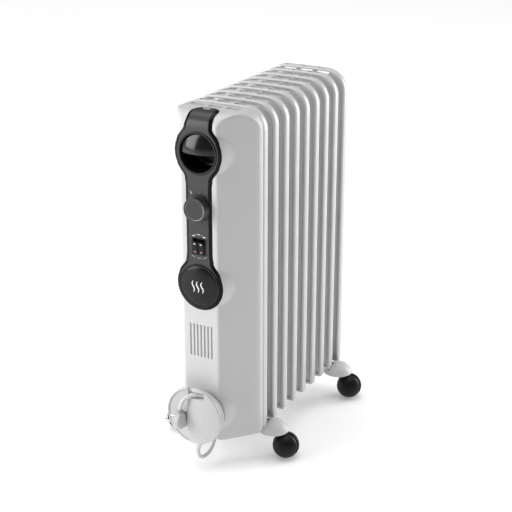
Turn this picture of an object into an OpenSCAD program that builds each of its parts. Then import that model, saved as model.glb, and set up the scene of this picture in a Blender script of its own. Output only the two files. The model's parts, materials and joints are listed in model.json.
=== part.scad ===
// Oil filled radiator heater on four ball casters.
// A stack of pressed fins shares an upper and a lower oil header. The control housing stands in front of
// the stack (towards -Y), with a carrying grip, a thermostat knob, two rocker switches and a cord reel.
// +X is the heater's right as seen from the back of the stack, +Z is up and the floor is at z = 0.

/* [Fins] */
// Number of fins in the stack
fin_count = 9; // [5:1:11]
// Distance from one fin to the next
fin_pitch = 38; // [34:1:44]
// Width of a fin
fin_w = 160; // [156:1:170]
// Height of a fin
fin_h = 580; // [560:5:640]
// Depth of the folded rim round a fin
fin_band = 15.6; // [12:0.2:18]
// Height of the fins above the floor
fin_z = 61; // [59:1:66]

/* [Housing] */
// Depth of the control housing
housing_depth = 72.2; // [68:0.1:84]
// Width of the housing's flat front
front_w = 68; // [64:1:74]
// Radius of the fascia's two discs
disc_r = 44; // [42:0.5:45]
// Width of the fascia's strip
strip_w = 49; // [44:1:52]
// Radius of the thermostat knob
knob_r = 21.5; // [19:0.5:22]

/* [Cord reel] */
// Radius of the reel's front flange
flange_r = 53; // [50.8:0.1:54]
// Room for the cord between the housing and the flange
reel_gap = 24; // [23.5:0.5:26]
// Diameter of the mains lead
cord_d = 7; // [6:0.5:7]

/* [Casters] */
// Radius of the ball wheels
ball_r = 24; // [22:0.5:24]
// Distance of the swivel axes from the middle of the heater
swivel_x = 87; // [85:1:92]
// Distance from a swivel axis to its ball's axle
caster_trail = 24; // [20:1:26]

/* [Hidden] */

$fn = 96;
shell_colour = "whitesmoke";
metal_colour = "gainsboro";
dark_colour = "dimgray";
black_colour = [0.15, 0.15, 0.15];
steel_colour = "silver";

// Places along Y, from the front to the back
flange_t = 6;
plug_r = 15;
plug_stand = 0.4;
bulge = 8;
housing_gap = 2;
stack_depth = (fin_count - 1) * fin_pitch + fin_band;
cap_r = 29;
cap_reach = cap_r - (fin_pitch + fin_band) / 2;
total_depth = bulge + flange_t + reel_gap + housing_depth + housing_gap + stack_depth + cap_reach;
y_front = -total_depth / 2;
y_flange = y_front + bulge;
y_reel = y_flange + flange_t;
y_face = y_reel + reel_gap;
y_back = y_face + housing_depth;
y_first = y_back + housing_gap + fin_band / 2;
y_last = y_first + (fin_count - 1) * fin_pitch;
function fin_y(i) = y_first + i * fin_pitch;

// Fin details
fin_corner = 34;
fin_foot_corner = 4;
rim_t = 1.2;
web_t = 1;
channel_t = 11;
channel_r = 37;
skin_t = 0.8;
header_r = 24;
header_low_z = fin_z + 42;
header_top_z = fin_z + fin_h - 52;
slot_pitch = 34;
slot_w = 24;
slot_d = 8;

// Housing details
wall = 2.5;
housing_w = 160;
housing_z0 = 58;
housing_z1 = fin_z + fin_h - 3;
housing_corner = 30;
side_band = 14;
brow_r = 26;
toe_r = 5;
boss_r = disc_r + 2;
boss_flare = 11.6;
boss_depth = 40;
grip_z = housing_z1 - 64;
knob_z = grip_z - 93;
switch_z = grip_z - 159;
badge_z = grip_z - 229;
reel_z = 113;
vent_z0 = 213;
vent_z1 = 273;
vent_count = 7;
vent_pitch = 6.84;
plate_y1 = y_back - 0.5;
plate_t = 1.5;
plate_y0 = plate_y1 - plate_t;
screw_spots = [[62, 100], [-62, 100], [62, 350], [-62, 350], [62, 590], [-62, 590]];

// Fascia details
fascia_t = 2.5;
tongue = 45;
grip_hole_r = 34.6;
cup_r = 34.3;
cup_wall = 1.8;
cup_depth = 38;
dome_edge_z = grip_z - 3;

// Control details
shaft_r = 3;
fit = 0.05;
bush_r = 5;
knob_proud = 15;
knob_lift = 1;
switch_w = 25.6;
switch_h = 27.6;
rocker_w = 10.2;
rocker_h = 22;
rocker_x = 5.9;
rocker_rest = 9;
pivot_y = y_face + 2;
pivot_r = 1.5;

// Reel details
drum_r = 29;
coil_r = 50.4;
reel_screw_r = 16;
bulge_x = -8.6;
bulge_ball = (pow(flange_r - 3, 2) + pow(bulge, 2)) / (2 * bulge);
plug_x = -17;
plug_y = y_flange - plug_stand - plug_r;
plug_z = 108;
plug_t = 13.5;
pin_r = 2.4;
pin_gap = 9.5;

// Lead: [x, distance behind the housing's face, z] along the cord's middle
gland_dy = 45;
gland_tilt = 15;
lead_route = [
    [0, 41, 41.5], [0, 39, 34], [0, 33, 26], [0, 24, 20], [0, 14, 18], [0, 3, 18], [0, -7, 22],
    [0, -15, 30], [1, -19, 40], [3, -19, 50], [8, -17, 60], [16, -12, 68], [26, -6, 76]
];
tail_route = [
    [26, -19.6, 145.6], [21.8, -19.9, 148.9], [17, -21.2, 151.8], [11.8, -23.8, 154.1], [6, -27.6, 155.4],
    [-0.5, -32, 155], [-6.5, -36.4, 152.2], [-11.8, -40.6, 147.4], [-15.3, -43.8, 140.6], [-16.8, -45.4, 133],
    [-17, -45.5, 126]
];

// Feet details
cap_x = 86;
cap_h = 20;
cap_z = 48.5;
cap_wall = 2;
cap_rib = 2;
cap_ball = (pow(cap_r, 2) + pow(cap_h, 2)) / (2 * cap_h);
cap_ball_z = cap_z + cap_h - cap_ball;
bar_w = 22;
bar_t = 2.5;
bar_lip = 8;
bar_half = 96;
stem_r = 4;
bush_out_r = 7;
axle_r = 2.5;
web_half = 2.5;
web_r = 22;
side_gap = 0.5;
ball_z = sqrt(pow(ball_r, 2) - pow(web_half + side_gap, 2));
foot_front_y = fin_y(0) + fin_pitch / 2;
foot_rear_y = fin_y(fin_count - 2) + fin_pitch / 2;
u_rod_r = 3;
u_bend_r = header_r + u_rod_r + 0.2;

// An outline in X and Z, extruded along Y
module along_y(y0, y1) {
    translate([0, y1, 0]) rotate([90, 0, 0]) linear_extrude(y1 - y0) children();
}

// An outline in Y and Z, extruded along X
module along_x(x0, x1) {
    translate([x0, 0, 0]) rotate([90, 0, 90]) linear_extrude(x1 - x0) children();
}

module rod_y(r, y0, y1, x = 0, z = 0) {
    translate([x, y1, z]) rotate([90, 0, 0]) cylinder(r = r, h = y1 - y0);
}

module rod_x(r, x0, x1, y = 0, z = 0) {
    translate([x0, y, z]) rotate([0, 90, 0]) cylinder(r = r, h = x1 - x0);
}

// Upright rounded outline, centred on X
module slab(w, z0, z1, r_top, r_foot) {
    translate([-w / 2, z0 + r_foot]) square([w, z1 - z0 - r_top - r_foot]);
    translate([-w / 2 + r_top, z1 - 2 * r_top]) square([w - 2 * r_top, 2 * r_top]);
    translate([-w / 2 + r_foot, z0]) square([w - 2 * r_foot, 2 * r_foot]);
    for (side = [-1, 1]) {
        translate([side * (w / 2 - r_top), z1 - r_top]) circle(r = r_top);
        translate([side * (w / 2 - r_foot), z0 + r_foot]) circle(r = r_foot);
    }
}

// A round tube swept along points, with the same reference direction all the way
function unit(v) = v / norm(v);
function heading(p, i) = unit(p[min(i + 1, len(p) - 1)] - p[max(i - 1, 0)]);
function side_of(t, ref) = unit(ref - (ref * t) * t);
function ring(p, i, r, sides, ref) =
    let (t = heading(p, i), a = side_of(t, ref), b = cross(t, a))
    [for (k = [0:sides - 1]) p[i] + r * (cos(360 * k / sides) * a + sin(360 * k / sides) * b)];
module tube(p, r, sides, ref) {
    last = len(p) - 1;
    points = [for (i = [0:last]) each ring(p, i, r, sides, ref)];
    walls = [for (i = [0:last - 1]) for (k = [0:sides - 1]) let (n = (k + 1) % sides, s = i * sides)
        each [[s + k, s + sides + k, s + sides + n], [s + k, s + sides + n, s + n]]];
    start = [for (k = [0:sides - 1]) k];
    end = [for (k = [sides - 1:-1:0]) last * sides + k];
    polyhedron(points = points, faces = concat(walls, [start], [end]), convexity = 6);
}
function from_face(route) = [for (p = route) [p[0], y_face + p[1], p[2]]];

// ---- fins and oil circuit ----

module fin_outline(inset) {
    slab(fin_w - 2 * inset, fin_z + inset, fin_z + fin_h - inset, fin_corner - inset, fin_foot_corner - inset);
}

module channel_outline(inset) {
    r = channel_r - inset;
    translate([-r, header_low_z]) square([2 * r, header_top_z - header_low_z]);
    for (z = [header_low_z, header_top_z]) {
        translate([0, z]) circle(r = r);
    }
}

module fin(i) {
    y = fin_y(i);
    color(metal_colour) difference() {
        union() {
            along_y(y - fin_band / 2, y + fin_band / 2) difference() {
                fin_outline(0);
                fin_outline(rim_t);
            }
            along_y(y - web_t / 2, y + web_t / 2) fin_outline(rim_t / 2);
            along_y(y - channel_t / 2, y + channel_t / 2) channel_outline(0);
        }
        along_y(y - channel_t / 2 + skin_t, y + channel_t / 2 - skin_t) channel_outline(skin_t);
        for (z = [header_low_z, header_top_z]) {
            rod_y(header_r - skin_t, y - fin_band, y + fin_band, 0, z);
        }
        for (x = [-slot_pitch, 0, slot_pitch]) {
            translate([x - slot_w / 2, y - slot_d / 2, fin_z + fin_h - 5]) cube([slot_w, slot_d, 10]);
        }
    }
}

// Rings that join each fin's oil channel to the next, and the first one to the back plate
module header_collars() {
    color(metal_colour) for (z = [header_low_z, header_top_z], i = [0:fin_count - 1]) {
        front = i == 0 ? plate_y1 : fin_y(i - 1) + channel_t / 2;
        back = fin_y(i) - channel_t / 2;
        difference() {
            rod_y(header_r, front, back, 0, z);
            rod_y(header_r - skin_t, front - 1, back + 1, 0, z);
        }
    }
}

// Discs that close the headers: the upper one in front, and both at the back
module header_caps() {
    spigot_r = header_r - skin_t - 0.1;
    back = y_last + channel_t / 2;
    color(steel_colour) {
        rod_y(header_r, plate_y0 - 3, plate_y0, 0, header_top_z);
        rod_y(spigot_r, plate_y0, plate_y1 + 4, 0, header_top_z);
        rod_y(header_r, back, back + 2, 0, header_low_z);
        rod_y(spigot_r, back - 4, back, 0, header_low_z);
        difference() {
            union() {
                rod_y(header_r, back, back + 2, 0, header_top_z);
                rod_y(spigot_r, back - 4, back, 0, header_top_z);
            }
            rod_y(5.1, back - 5, back + 3, 0, header_top_z);
        }
    }
}

module filler_plug() {
    back = y_last + channel_t / 2 + 2;
    color(steel_colour) {
        rod_y(5, back - 5, back, 0, header_top_z);
        translate([0, back + 2.6, header_top_z]) rotate([90, 0, 0]) cylinder(r = 8.5, h = 2.6, $fn = 6);
    }
}

element_x = 6.5;
element_r = 4;
element_front = plate_y1 + 5;
element_back = y_last - 30;

module element_flange() {
    color("burlywood") {
        rod_y(header_r + 3, plate_y0 - 5, plate_y0, 0, header_low_z);
        rod_y(header_r - skin_t - 0.1, plate_y0, element_front, 0, header_low_z);
    }
}

// Two hairpin heaters in the lower header, one for each switch
module heating_elements() {
    color(dark_colour) for (dz = [-element_x, element_x]) {
        z = header_low_z + dz;
        for (x = [-element_x, element_x]) {
            rod_y(element_r, element_front, element_back, x, z);
        }
        translate([0, element_back, z]) rotate_extrude(angle = 180) translate([element_x, 0]) circle(r = element_r);
    }
}

module element_terminals() {
    front = plate_y0 - 5;
    color("ivory") for (x = [-element_x, element_x]) {
        for (dz = [-element_x, element_x]) {
            rod_y(4, front - 5, front, x, header_low_z + dz);
            rod_y(1.6, front - 14, front - 5, x, header_low_z + dz);
        }
    }
}

// ---- housing ----

module housing_front_outline(inset) {
    slab(housing_w - 2 * inset, housing_z0 + inset, housing_z1 - inset, housing_corner - inset, 4);
}

// Plan of the housing: a straight band at the back, then sides that close in to the flat front
module housing_plan(inset) {
    back = y_back + (inset > 0 ? 1 : 0);
    band = y_back - side_band;
    half = housing_w / 2 - inset;
    front = front_w / 2 - inset * 0.75;
    polygon([
        [half, back], [half, band], [front, y_face + inset],
        [-front, y_face + inset], [-half, band], [-half, back]
    ]);
}

// Side view of the housing, with a rounded brow
module housing_profile(inset) {
    back = y_back + (inset > 0 ? 1 : 0);
    z1 = housing_z1 - inset;
    z0 = housing_z0 + inset;
    y0 = y_face + inset;
    r1 = brow_r - inset;
    r0 = toe_r - inset;
    translate([y_face + brow_r, z0]) square([back - y_face - brow_r, z1 - z0]);
    translate([y0, housing_z0 + toe_r]) square([brow_r, housing_z1 - brow_r - housing_z0 - toe_r]);
    translate([y_face + toe_r, z0]) square([brow_r, 2 * toe_r]);
    translate([y_face + brow_r, housing_z1 - brow_r]) circle(r = r1);
    translate([y_face + toe_r, housing_z0 + toe_r]) circle(r = r0);
}

module boss(z, inset) {
    translate([0, y_face + inset, z]) rotate([-90, 0, 0]) cylinder(
        r1 = boss_r - inset,
        r2 = boss_r - inset + boss_flare,
        h = boss_depth - inset
    );
}

module housing_solid(inset) {
    intersection() {
        along_x(-housing_w, housing_w) housing_profile(inset);
        union() {
            intersection() {
                along_y(y_face - 1, y_back + 2) housing_front_outline(inset);
                translate([0, 0, housing_z0 - 1]) linear_extrude(housing_z1 - housing_z0 + 2) housing_plan(inset);
            }
            for (z = [grip_z, badge_z, reel_z]) {
                boss(z, inset);
            }
        }
    }
}

module housing_posts() {
    intersection() {
        union() {
            for (s = screw_spots) {
                rod_y(4.5, y_face, plate_y0, s[0], s[1]);
            }
        }
        housing_solid(0);
    }
}

module housing_shell() {
    color(shell_colour) difference() {
        union() {
            difference() {
                housing_solid(0);
                housing_solid(wall);
            }
            housing_posts();
        }
        for (s = screw_spots) {
            rod_y(2.05, plate_y0 - 18, plate_y0 + 1, s[0], s[1]);
        }
        rod_y(grip_hole_r, y_face - 1, y_face + 10, 0, grip_z);
        rod_y(bush_r + 0.1, y_face - 1, y_face + 5, 0, knob_z);
        translate([-switch_w / 2 - 0.1, y_face - 1, switch_z - switch_h / 2 - 0.1])
            cube([switch_w + 0.2, 6, switch_h + 0.2]);
        for (i = [0:vent_count - 1]) {
            translate([(i - (vent_count - 1) / 2) * vent_pitch - 1.6, y_face - 1, vent_z0])
                cube([3.2, 6, vent_z1 - vent_z0]);
        }
        for (x = [-slot_pitch, 0, slot_pitch]) {
            translate([x - 13, y_face + tongue + 5, housing_z1 - 1.5]) cube([26, 14, 12]);
        }
        translate([0, y_face + gland_dy, housing_z0 - 1]) cylinder(r = 7.1, h = 6);
        for (a = [30, 150, 270]) {
            rod_y(1.7, y_face - 1, y_face + 5, reel_screw_r * cos(a), reel_z + reel_screw_r * sin(a));
        }
    }
}

module back_plate() {
    color(steel_colour) difference() {
        along_y(plate_y0, plate_y1) slab(housing_w - 2 * wall - 0.6, housing_z0 + wall + 0.3,
            housing_z1 - wall - 0.3, housing_corner - wall - 0.3, 3.5);
        for (z = [header_low_z, header_top_z]) {
            rod_y(header_r - skin_t, plate_y0 - 1, plate_y1 + 1, 0, z);
        }
        for (s = screw_spots) {
            rod_y(2.2, plate_y0 - 1, plate_y1 + 1, s[0], s[1]);
        }
    }
}

// ---- fascia, grip and badge disc ----

module fascia_outline() {
    translate([-strip_w / 2, badge_z]) square([strip_w, housing_z1 - brow_r - badge_z]);
    for (z = [grip_z, badge_z]) {
        translate([0, z]) circle(r = disc_r);
    }
}

// Side view of the strip where it wraps over the brow and lies on top of the housing
module brow_wrap() {
    centre = [y_face + brow_r, housing_z1 - brow_r];
    outer = brow_r + fascia_t;
    difference() {
        union() {
            intersection() {
                translate(centre) circle(r = outer);
                translate(centre - [outer, 0]) square(outer);
            }
            translate([centre[0], housing_z1]) square([tongue - brow_r, fascia_t]);
        }
        translate(centre) circle(r = brow_r);
    }
}

// Plan of the tongue, with its round end
module tongue_plan() {
    r = strip_w / 2;
    translate([-r, y_face - 5]) square([strip_w, tongue - r + 5]);
    translate([0, y_face + tongue - r]) circle(r = r);
}

module fascia() {
    color(dark_colour) difference() {
        union() {
            along_y(y_face - fascia_t, y_face) fascia_outline();
            intersection() {
                along_x(-strip_w / 2, strip_w / 2) brow_wrap();
                translate([0, 0, grip_z]) linear_extrude(100) tongue_plan();
            }
        }
        rod_y(grip_hole_r, y_face - 10, y_face + 1, 0, grip_z);
        rod_y(bush_r + 0.1, y_face - 5, y_face + 5, 0, knob_z);
        translate([-switch_w / 2 - 0.1, y_face - 5, switch_z - switch_h / 2 - 0.1])
            cube([switch_w + 0.2, 6, switch_h + 0.2]);
    }
}

// Round pocket behind the fascia for the fingers
module grip_cup() {
    lip = y_face - fascia_t;
    color(black_colour) difference() {
        union() {
            rod_y(cup_r, lip, y_face + cup_depth, 0, grip_z);
            rod_y(cup_r + 2, lip - 1.4, lip, 0, grip_z);
        }
        rod_y(cup_r - cup_wall, lip - 3, y_face + cup_depth - 2, 0, grip_z);
    }
}

// Curved cover over the upper half of the pocket: the part that the hand holds
module handle_dome() {
    r = cup_r - cup_wall;
    ball = 62;
    nose = y_face - fascia_t - 7;
    color(black_colour) intersection() {
        difference() {
            rod_y(r, nose - 1, y_face + 7, 0, grip_z);
            translate([0, nose + ball + 4, grip_z]) sphere(r = ball);
        }
        union() {
            translate([0, nose + ball, grip_z]) sphere(r = ball);
        }
        translate([-50, nose - 5, dome_edge_z]) cube([100, 60, 60]);
    }
}

module badge_disc() {
    ball = 120;
    color(black_colour) translate([0, y_face - fascia_t, badge_z]) rotate([90, 0, 0]) rotate_extrude() intersection() {
        square([disc_r - 6, 8]);
        translate([0, 7 - ball]) circle(r = ball, $fn = 720);
    }
}

// ---- thermostat ----

module thermostat_body() {
    inside = y_face + wall;
    color("tan") difference() {
        union() {
            translate([-16, inside, knob_z - 18]) cube([32, 20, 36]);
            rod_y(bush_r, y_face - fascia_t - 3, inside, 0, knob_z);
            for (x = [-9, 9]) {
                translate([x - 3, inside + 20, knob_z - 8]) cube([6, 9, 1]);
            }
        }
        rod_y(shaft_r + fit, y_face - 10, inside + 12, 0, knob_z);
    }
}

module thermostat_nut() {
    back = y_face - fascia_t;
    color(steel_colour) difference() {
        translate([0, back, knob_z]) rotate([90, 0, 0]) cylinder(r = 8, h = 2.5, $fn = 6);
        rod_y(bush_r + 0.05, back - 4, back + 1, 0, knob_z);
    }
}

module thermostat_shaft() {
    color(steel_colour) rod_y(shaft_r, y_face - knob_proud + 4, y_face + wall + 11, 0, knob_z);
}

module knob() {
    back = y_face - fascia_t - knob_lift;
    front = y_face - knob_proud;
    color(dark_colour) difference() {
        union() {
            rod_y(knob_r, front, back, 0, knob_z);
            rod_y(knob_r + 1, back - 2.5, back, 0, knob_z);
        }
        difference() {
            rod_y(knob_r - 2.5, front + 3, back + 1, 0, knob_z);
            rod_y(6, front, y_face - fascia_t - 3.4, 0, knob_z);
        }
        rod_y(shaft_r, front + 4, back + 1, 0, knob_z);
    }
}

// ---- switches ----

module switch_frame() {
    lip = y_face - fascia_t;
    color(black_colour) difference() {
        union() {
            translate([-switch_w / 2, lip, switch_z - switch_h / 2]) cube([switch_w, 20, switch_h]);
            translate([-switch_w / 2 - 1.2, lip - 1, switch_z - switch_h / 2 - 1.2])
                cube([switch_w + 2.4, 1, switch_h + 2.4]);
        }
        for (x = [-rocker_x, rocker_x]) {
            translate([x - rocker_w / 2 - 0.4, lip - 2, switch_z - rocker_h / 2 - 1.6])
                cube([rocker_w + 0.8, 16, rocker_h + 3.2]);
        }
        rod_x(pivot_r + fit, -switch_w / 2 + 0.8, switch_w / 2 - 0.8, pivot_y, switch_z);
    }
}

// Spring contacts and tabs behind the two rockers
module switch_contacts() {
    back = y_face - fascia_t + 20;
    color(steel_colour) for (x = [-rocker_x, rocker_x]) {
        for (dz = [-8, 0, 8]) {
            translate([x - 2.4, back, switch_z + dz - 0.4]) cube([4.8, 9, 0.8]);
        }
    }
}

// Side view of a rocker at rest, with its lower end pressed in
module rocker_side() {
    half = rocker_h / 2;
    reach = pivot_y - y_face + 6.5;
    translate([pivot_y, switch_z]) rotate(rocker_rest) polygon([
        [-reach - 1, half], [-reach + 1.4, 0], [-reach - 1, -half], [-2, -half + 1], [3, -4], [3, 4], [-2, half - 1]
    ]);
}

module rocker(x) {
    color(black_colour) {
        along_x(x - rocker_w / 2, x + rocker_w / 2) rocker_side();
        for (side = [-1, 1]) {
            inner = x + side * rocker_w / 2;
            rod_x(pivot_r, min(inner, inner + side * 0.7), max(inner, inner + side * 0.7), pivot_y, switch_z);
        }
    }
}

// ---- other electrical parts ----

cutout_z = 250;
block_z = 165;

module thermal_cutout() {
    color("dimgray") {
        rod_y(9, plate_y0 - 8, plate_y0, 0, cutout_z);
        for (x = [-6, 6]) {
            translate([x - 2.4, plate_y0 - 16, cutout_z - 0.4]) cube([4.8, 8, 0.8]);
        }
    }
}

module terminal_block() {
    color("ivory") difference() {
        translate([-50, plate_y0 - 18, block_z - 10]) cube([34, 18, 20]);
        for (x = [-44, -33, -22]) {
            translate([x, plate_y0 - 19, block_z + 4]) rotate([-90, 0, 0]) cylinder(r = 2.2, h = 8);
        }
    }
}

// Leads inside the housing, each from one connection to the next
module wiring() {
    y = plate_y0;
    r = 1.4;
    color("peru") {
        tube([[-44, y - 9, block_z + 10], [-44, y - 12, 190], [-40, y - 16, 215], [-24, y - 16, 236],
            [-10, y - 14, 246], [-8.5, y - 14, 250]], r, 8, [1, 0, 0]);
        tube([[8.5, y - 14, 250], [12, y - 16, 262], [18, y - 22, 300], [18, y - 30, 350], [12, y - 34, 388],
            [rocker_x, y - 35, switch_z - 10]], r, 8, [1, 0, 0]);
        tube([[-6, y - 40, 424], [-8, y - 34, 436], [-12, y - 30, 452], [-10, y - 34, knob_z - 12],
            [-9, y - 37, knob_z - 9]], r, 8, [1, 0, 0]);
        tube([[-22, y - 9, block_z - 10], [-22, y - 12, 146], [-18, y - 18, 128], [-10, y - 21, 114],
            [-7, y - 21, header_low_z + 8.4]], r, 8, [1, 0, 0]);
        tube([[-33, y - 9, block_z - 10], [-34, y - 10, 140], [-40, y - 9, 126], [-42, y - 5, 118]], r, 8, [1, 0, 0]);
    }
}

module earth_screw() {
    color("goldenrod") {
        rod_y(4, plate_y0 - 3, plate_y0, -42, 112);
        rod_y(2, plate_y0 - 6, plate_y0 - 3, -42, 112);
    }
}

// ---- cord reel ----

module reel_drum() {
    color(shell_colour) difference() {
        rod_y(drum_r, y_reel, y_face, 0, reel_z);
        rod_y(drum_r - wall, y_reel - 1, y_face - wall, 0, reel_z);
        for (a = [30, 150, 270]) {
            rod_y(1.7, y_face - 10, y_face + 1, reel_screw_r * cos(a), reel_z + reel_screw_r * sin(a));
        }
    }
}

// L-shaped way through the flange for the cord
module cord_slot() {
    translate([-11, y_flange - 9, reel_z + 36]) cube([33, 24, 11.5]);
    translate([-11, y_flange - 9, reel_z + 36]) cube([8.5, 24, 30]);
}

// Curved arms that hold the rim of the plug
module plug_arms() {
    intersection() {
        difference() {
            rod_x(plug_r + 2.6, plug_x - 5, plug_x + 5, plug_y, plug_z);
            rod_x(plug_r + 0.3, plug_x - 6, plug_x + 6, plug_y, plug_z);
        }
        translate([plug_x - 10, y_front, plug_z - 30]) cube([20, bulge + 1, 60]);
    }
}

// Domed cover of the reel, which starts beside the plug's rest
module reel_dome() {
    difference() {
        intersection() {
            translate([0, y_flange - bulge + bulge_ball, reel_z]) sphere(r = bulge_ball);
            rod_y(flange_r - 3, y_flange - bulge - 1, y_flange + 2.1, 0, reel_z);
            translate([bulge_x, y_flange - 20, reel_z - 60]) cube([120, 30, 120]);
        }
        intersection() {
            translate([0, y_flange - bulge + bulge_ball, reel_z]) sphere(r = bulge_ball - 2);
            rod_y(flange_r - 5, y_flange - bulge, y_flange + 3, 0, reel_z);
            translate([bulge_x + 2, y_flange - 20, reel_z - 60]) cube([120, 30, 120]);
        }
    }
}

module reel_flange() {
    body = y_flange + 2;
    color(shell_colour) difference() {
        union() {
            rod_y(flange_r, body, y_reel, 0, reel_z);
            difference() {
                rod_y(flange_r, y_flange, body, 0, reel_z);
                rod_y(flange_r - 3.4, y_flange - 1, body + 1, 0, reel_z);
            }
            reel_dome();
            for (a = [30, 150, 270]) {
                rod_y(3.6, y_reel - 1, y_face - wall - 0.05, reel_screw_r * cos(a), reel_z + reel_screw_r * sin(a));
            }
            plug_arms();
        }
        cord_slot();
        for (a = [30, 150, 270]) {
            rod_y(1.7, y_reel, y_face, reel_screw_r * cos(a), reel_z + reel_screw_r * sin(a));
        }
    }
}

// Screws that hold the back plate, and those that hold the reel to the housing
module screws() {
    color(steel_colour) {
        for (s = screw_spots) {
            rod_y(2, plate_y0 - 14, plate_y1, s[0], s[1]);
            rod_y(4, plate_y1, plate_y1 + 2.2, s[0], s[1]);
        }
        for (a = [30, 150, 270]) {
            x = reel_screw_r * cos(a);
            z = reel_z + reel_screw_r * sin(a);
            rod_y(1.6, y_face - 16, y_face + wall, x, z);
            rod_y(3, y_face + wall, y_face + wall + 1.6, x, z);
        }
    }
}

// ---- mains lead ----

// Bush in the housing's floor, with a tapered sleeve round the cord
module cord_gland() {
    color(shell_colour) {
        translate([0, y_face + gland_dy, housing_z0]) cylinder(r = 7, h = wall);
        translate([0, y_face + gland_dy, housing_z0 - 3]) cylinder(r = 9, h = 3);
        translate([0, y_face + gland_dy, housing_z0 - 1.6]) rotate([180 - gland_tilt, 0, 0])
            cylinder(r1 = 6, r2 = 4.3, h = 18);
    }
}

module cord_clamp() {
    z = housing_z0 + wall;
    color("ivory") {
        translate([-14, y_face + gland_dy - 7, z]) cube([28, 14, 8]);
        for (x = [-10, 10]) {
            translate([x, y_face + gland_dy, z + 8]) cylinder(r = 3, h = 2);
        }
    }
}

module cord_lead() {
    color(shell_colour) tube(from_face(lead_route), cord_d / 2, 10, [1, 0, 0]);
}

// Outer shape of the turns on the reel
module cord_coil() {
    color(shell_colour) translate([0, y_face - 0.2, reel_z]) rotate([90, 0, 0]) rotate_extrude()
        translate([drum_r + 0.1, 0]) square([coil_r - drum_r - 0.1, reel_gap - 0.4]);
}

module cord_tail() {
    color(shell_colour) tube(from_face(tail_route), cord_d / 2, 10, [0, 1, 0]);
}

module plug_body() {
    color(shell_colour) {
        rod_x(plug_r, plug_x - plug_t / 2, plug_x + plug_t / 2, plug_y, plug_z);
        translate([plug_x, plug_y, plug_z]) cylinder(r1 = 6.5, r2 = 5, h = 22);
    }
}

module plug_pins() {
    back = plug_x - plug_t / 2;
    color(steel_colour) for (side = [-1, 1]) {
        rod_x(pin_r, back - 19, back, plug_y + side * pin_gap, plug_z);
    }
}

// ---- feet ----

// Pressed cross bar under two fins, with turned-down sides and a hole for each caster's bush
module foot_bar(y) {
    color(steel_colour) difference() {
        translate([-bar_half, y - bar_w / 2, fin_z - bar_lip]) cube([2 * bar_half, bar_w, bar_lip]);
        translate([-bar_half - 1, y - bar_w / 2 + bar_t, fin_z - bar_lip - 1])
            cube([2 * bar_half + 2, bar_w - 2 * bar_t, bar_lip + 1 - bar_t]);
        for (side = [-1, 1]) {
            translate([side * swivel_x, y, fin_z - bar_lip]) cylinder(r = bush_out_r, h = 2 * bar_lip);
            translate([side * u_bend_r, y, fin_z - bar_lip]) cylinder(r = u_rod_r + 0.2, h = 2 * bar_lip);
        }
    }
}

// Rods bent over the lower header between two fins, which hold a foot bar up
module u_bolts() {
    foot = fin_z - bar_lip - 3;
    color(steel_colour) for (y = [foot_front_y, foot_rear_y]) {
        translate([0, y, header_low_z]) rotate([90, 0, 0]) rotate_extrude(angle = 180)
            translate([u_bend_r, 0]) circle(r = u_rod_r);
        for (side = [-1, 1]) {
            translate([side * u_bend_r, y, foot]) cylinder(r = u_rod_r, h = header_low_z - foot);
        }
    }
}

module wing_nuts() {
    top = fin_z - bar_t;
    color(steel_colour) for (y = [foot_front_y, foot_rear_y]) {
        for (side = [-1, 1]) {
            x = side * u_bend_r;
            difference() {
                union() {
                    translate([x, y, top - 6]) cylinder(r = 6, h = 6);
                    translate([x - 10, y - 1.2, top - 12]) cube([20, 2.4, 9]);
                }
                translate([x, y, top - 20]) cylinder(r = u_rod_r + 0.05, h = 30);
            }
        }
    }
}

// Plastic bushes in which the casters' stems turn
module caster_bushes() {
    color(black_colour) for (y = [foot_front_y, foot_rear_y]) {
        for (side = [-1, 1]) {
            translate([side * swivel_x, y, 0]) difference() {
                union() {
                    translate([0, 0, fin_z - 9]) cylinder(r = bush_out_r - 0.1, h = 13);
                    translate([0, 0, fin_z - bar_t - 2]) cylinder(r = 8.2, h = 2);
                }
                translate([0, 0, fin_z - 20]) cylinder(r = stem_r + fit, h = 40);
            }
        }
    }
}

// Domed cover over the end of a foot bar, cut away round the fins and the bar, with a rib that rests on the bar
module foot_cap(side, y) {
    color(shell_colour) difference() {
        union() {
            difference() {
                translate([side * cap_x, y, cap_ball_z]) sphere(r = cap_ball);
                translate([side * cap_x, y, cap_ball_z]) sphere(r = cap_ball - cap_wall);
            }
            intersection() {
                translate([side * cap_x, y, cap_ball_z]) sphere(r = cap_ball - cap_wall / 2);
                translate([side > 0 ? bar_half - cap_rib : -bar_half, y - 9, fin_z]) cube([cap_rib, 18, 12]);
            }
        }
        translate([side * cap_x - 50, y - 50, cap_z - 100]) cube([100, 100, 100]);
        translate([side > 0 ? 0 : -fin_w / 2 - 0.3, y - 50, housing_z0 - 0.3]) cube([fin_w / 2 + 0.3, 100, 60]);
        translate([-bar_half - 0.3, y - bar_w / 2 - 0.3, fin_z - bar_lip - 0.3])
            cube([2 * bar_half + 0.6, bar_w + 0.6, bar_lip + 0.3]);
    }
}

// Stem, arm and axle of a caster
module caster_yoke(side, y) {
    x = side * swivel_x;
    axle_x = x + side * caster_trail;
    low = min(x, axle_x);
    color(black_colour) {
        translate([x, y, cap_z]) cylinder(r = stem_r, h = fin_z + 3 - cap_z);
        along_y(y - web_half, y + web_half) {
            difference() {
                union() {
                    translate([axle_x, ball_z]) circle(r = web_r);
                    polygon([
                        [x - side * 6, cap_z + 1.5], [x + side * 9, cap_z + 1.5], [axle_x + side * 8.5, ball_z + 3],
                        [axle_x - side * 6, ball_z - 6.7], [axle_x - side * 9, ball_z]
                    ]);
                }
                translate([axle_x, ball_z]) circle(r = axle_r);
            }
        }
    }
    color(steel_colour) rod_y(axle_r, y - 18, y + 18, axle_x, ball_z);
}

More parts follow.
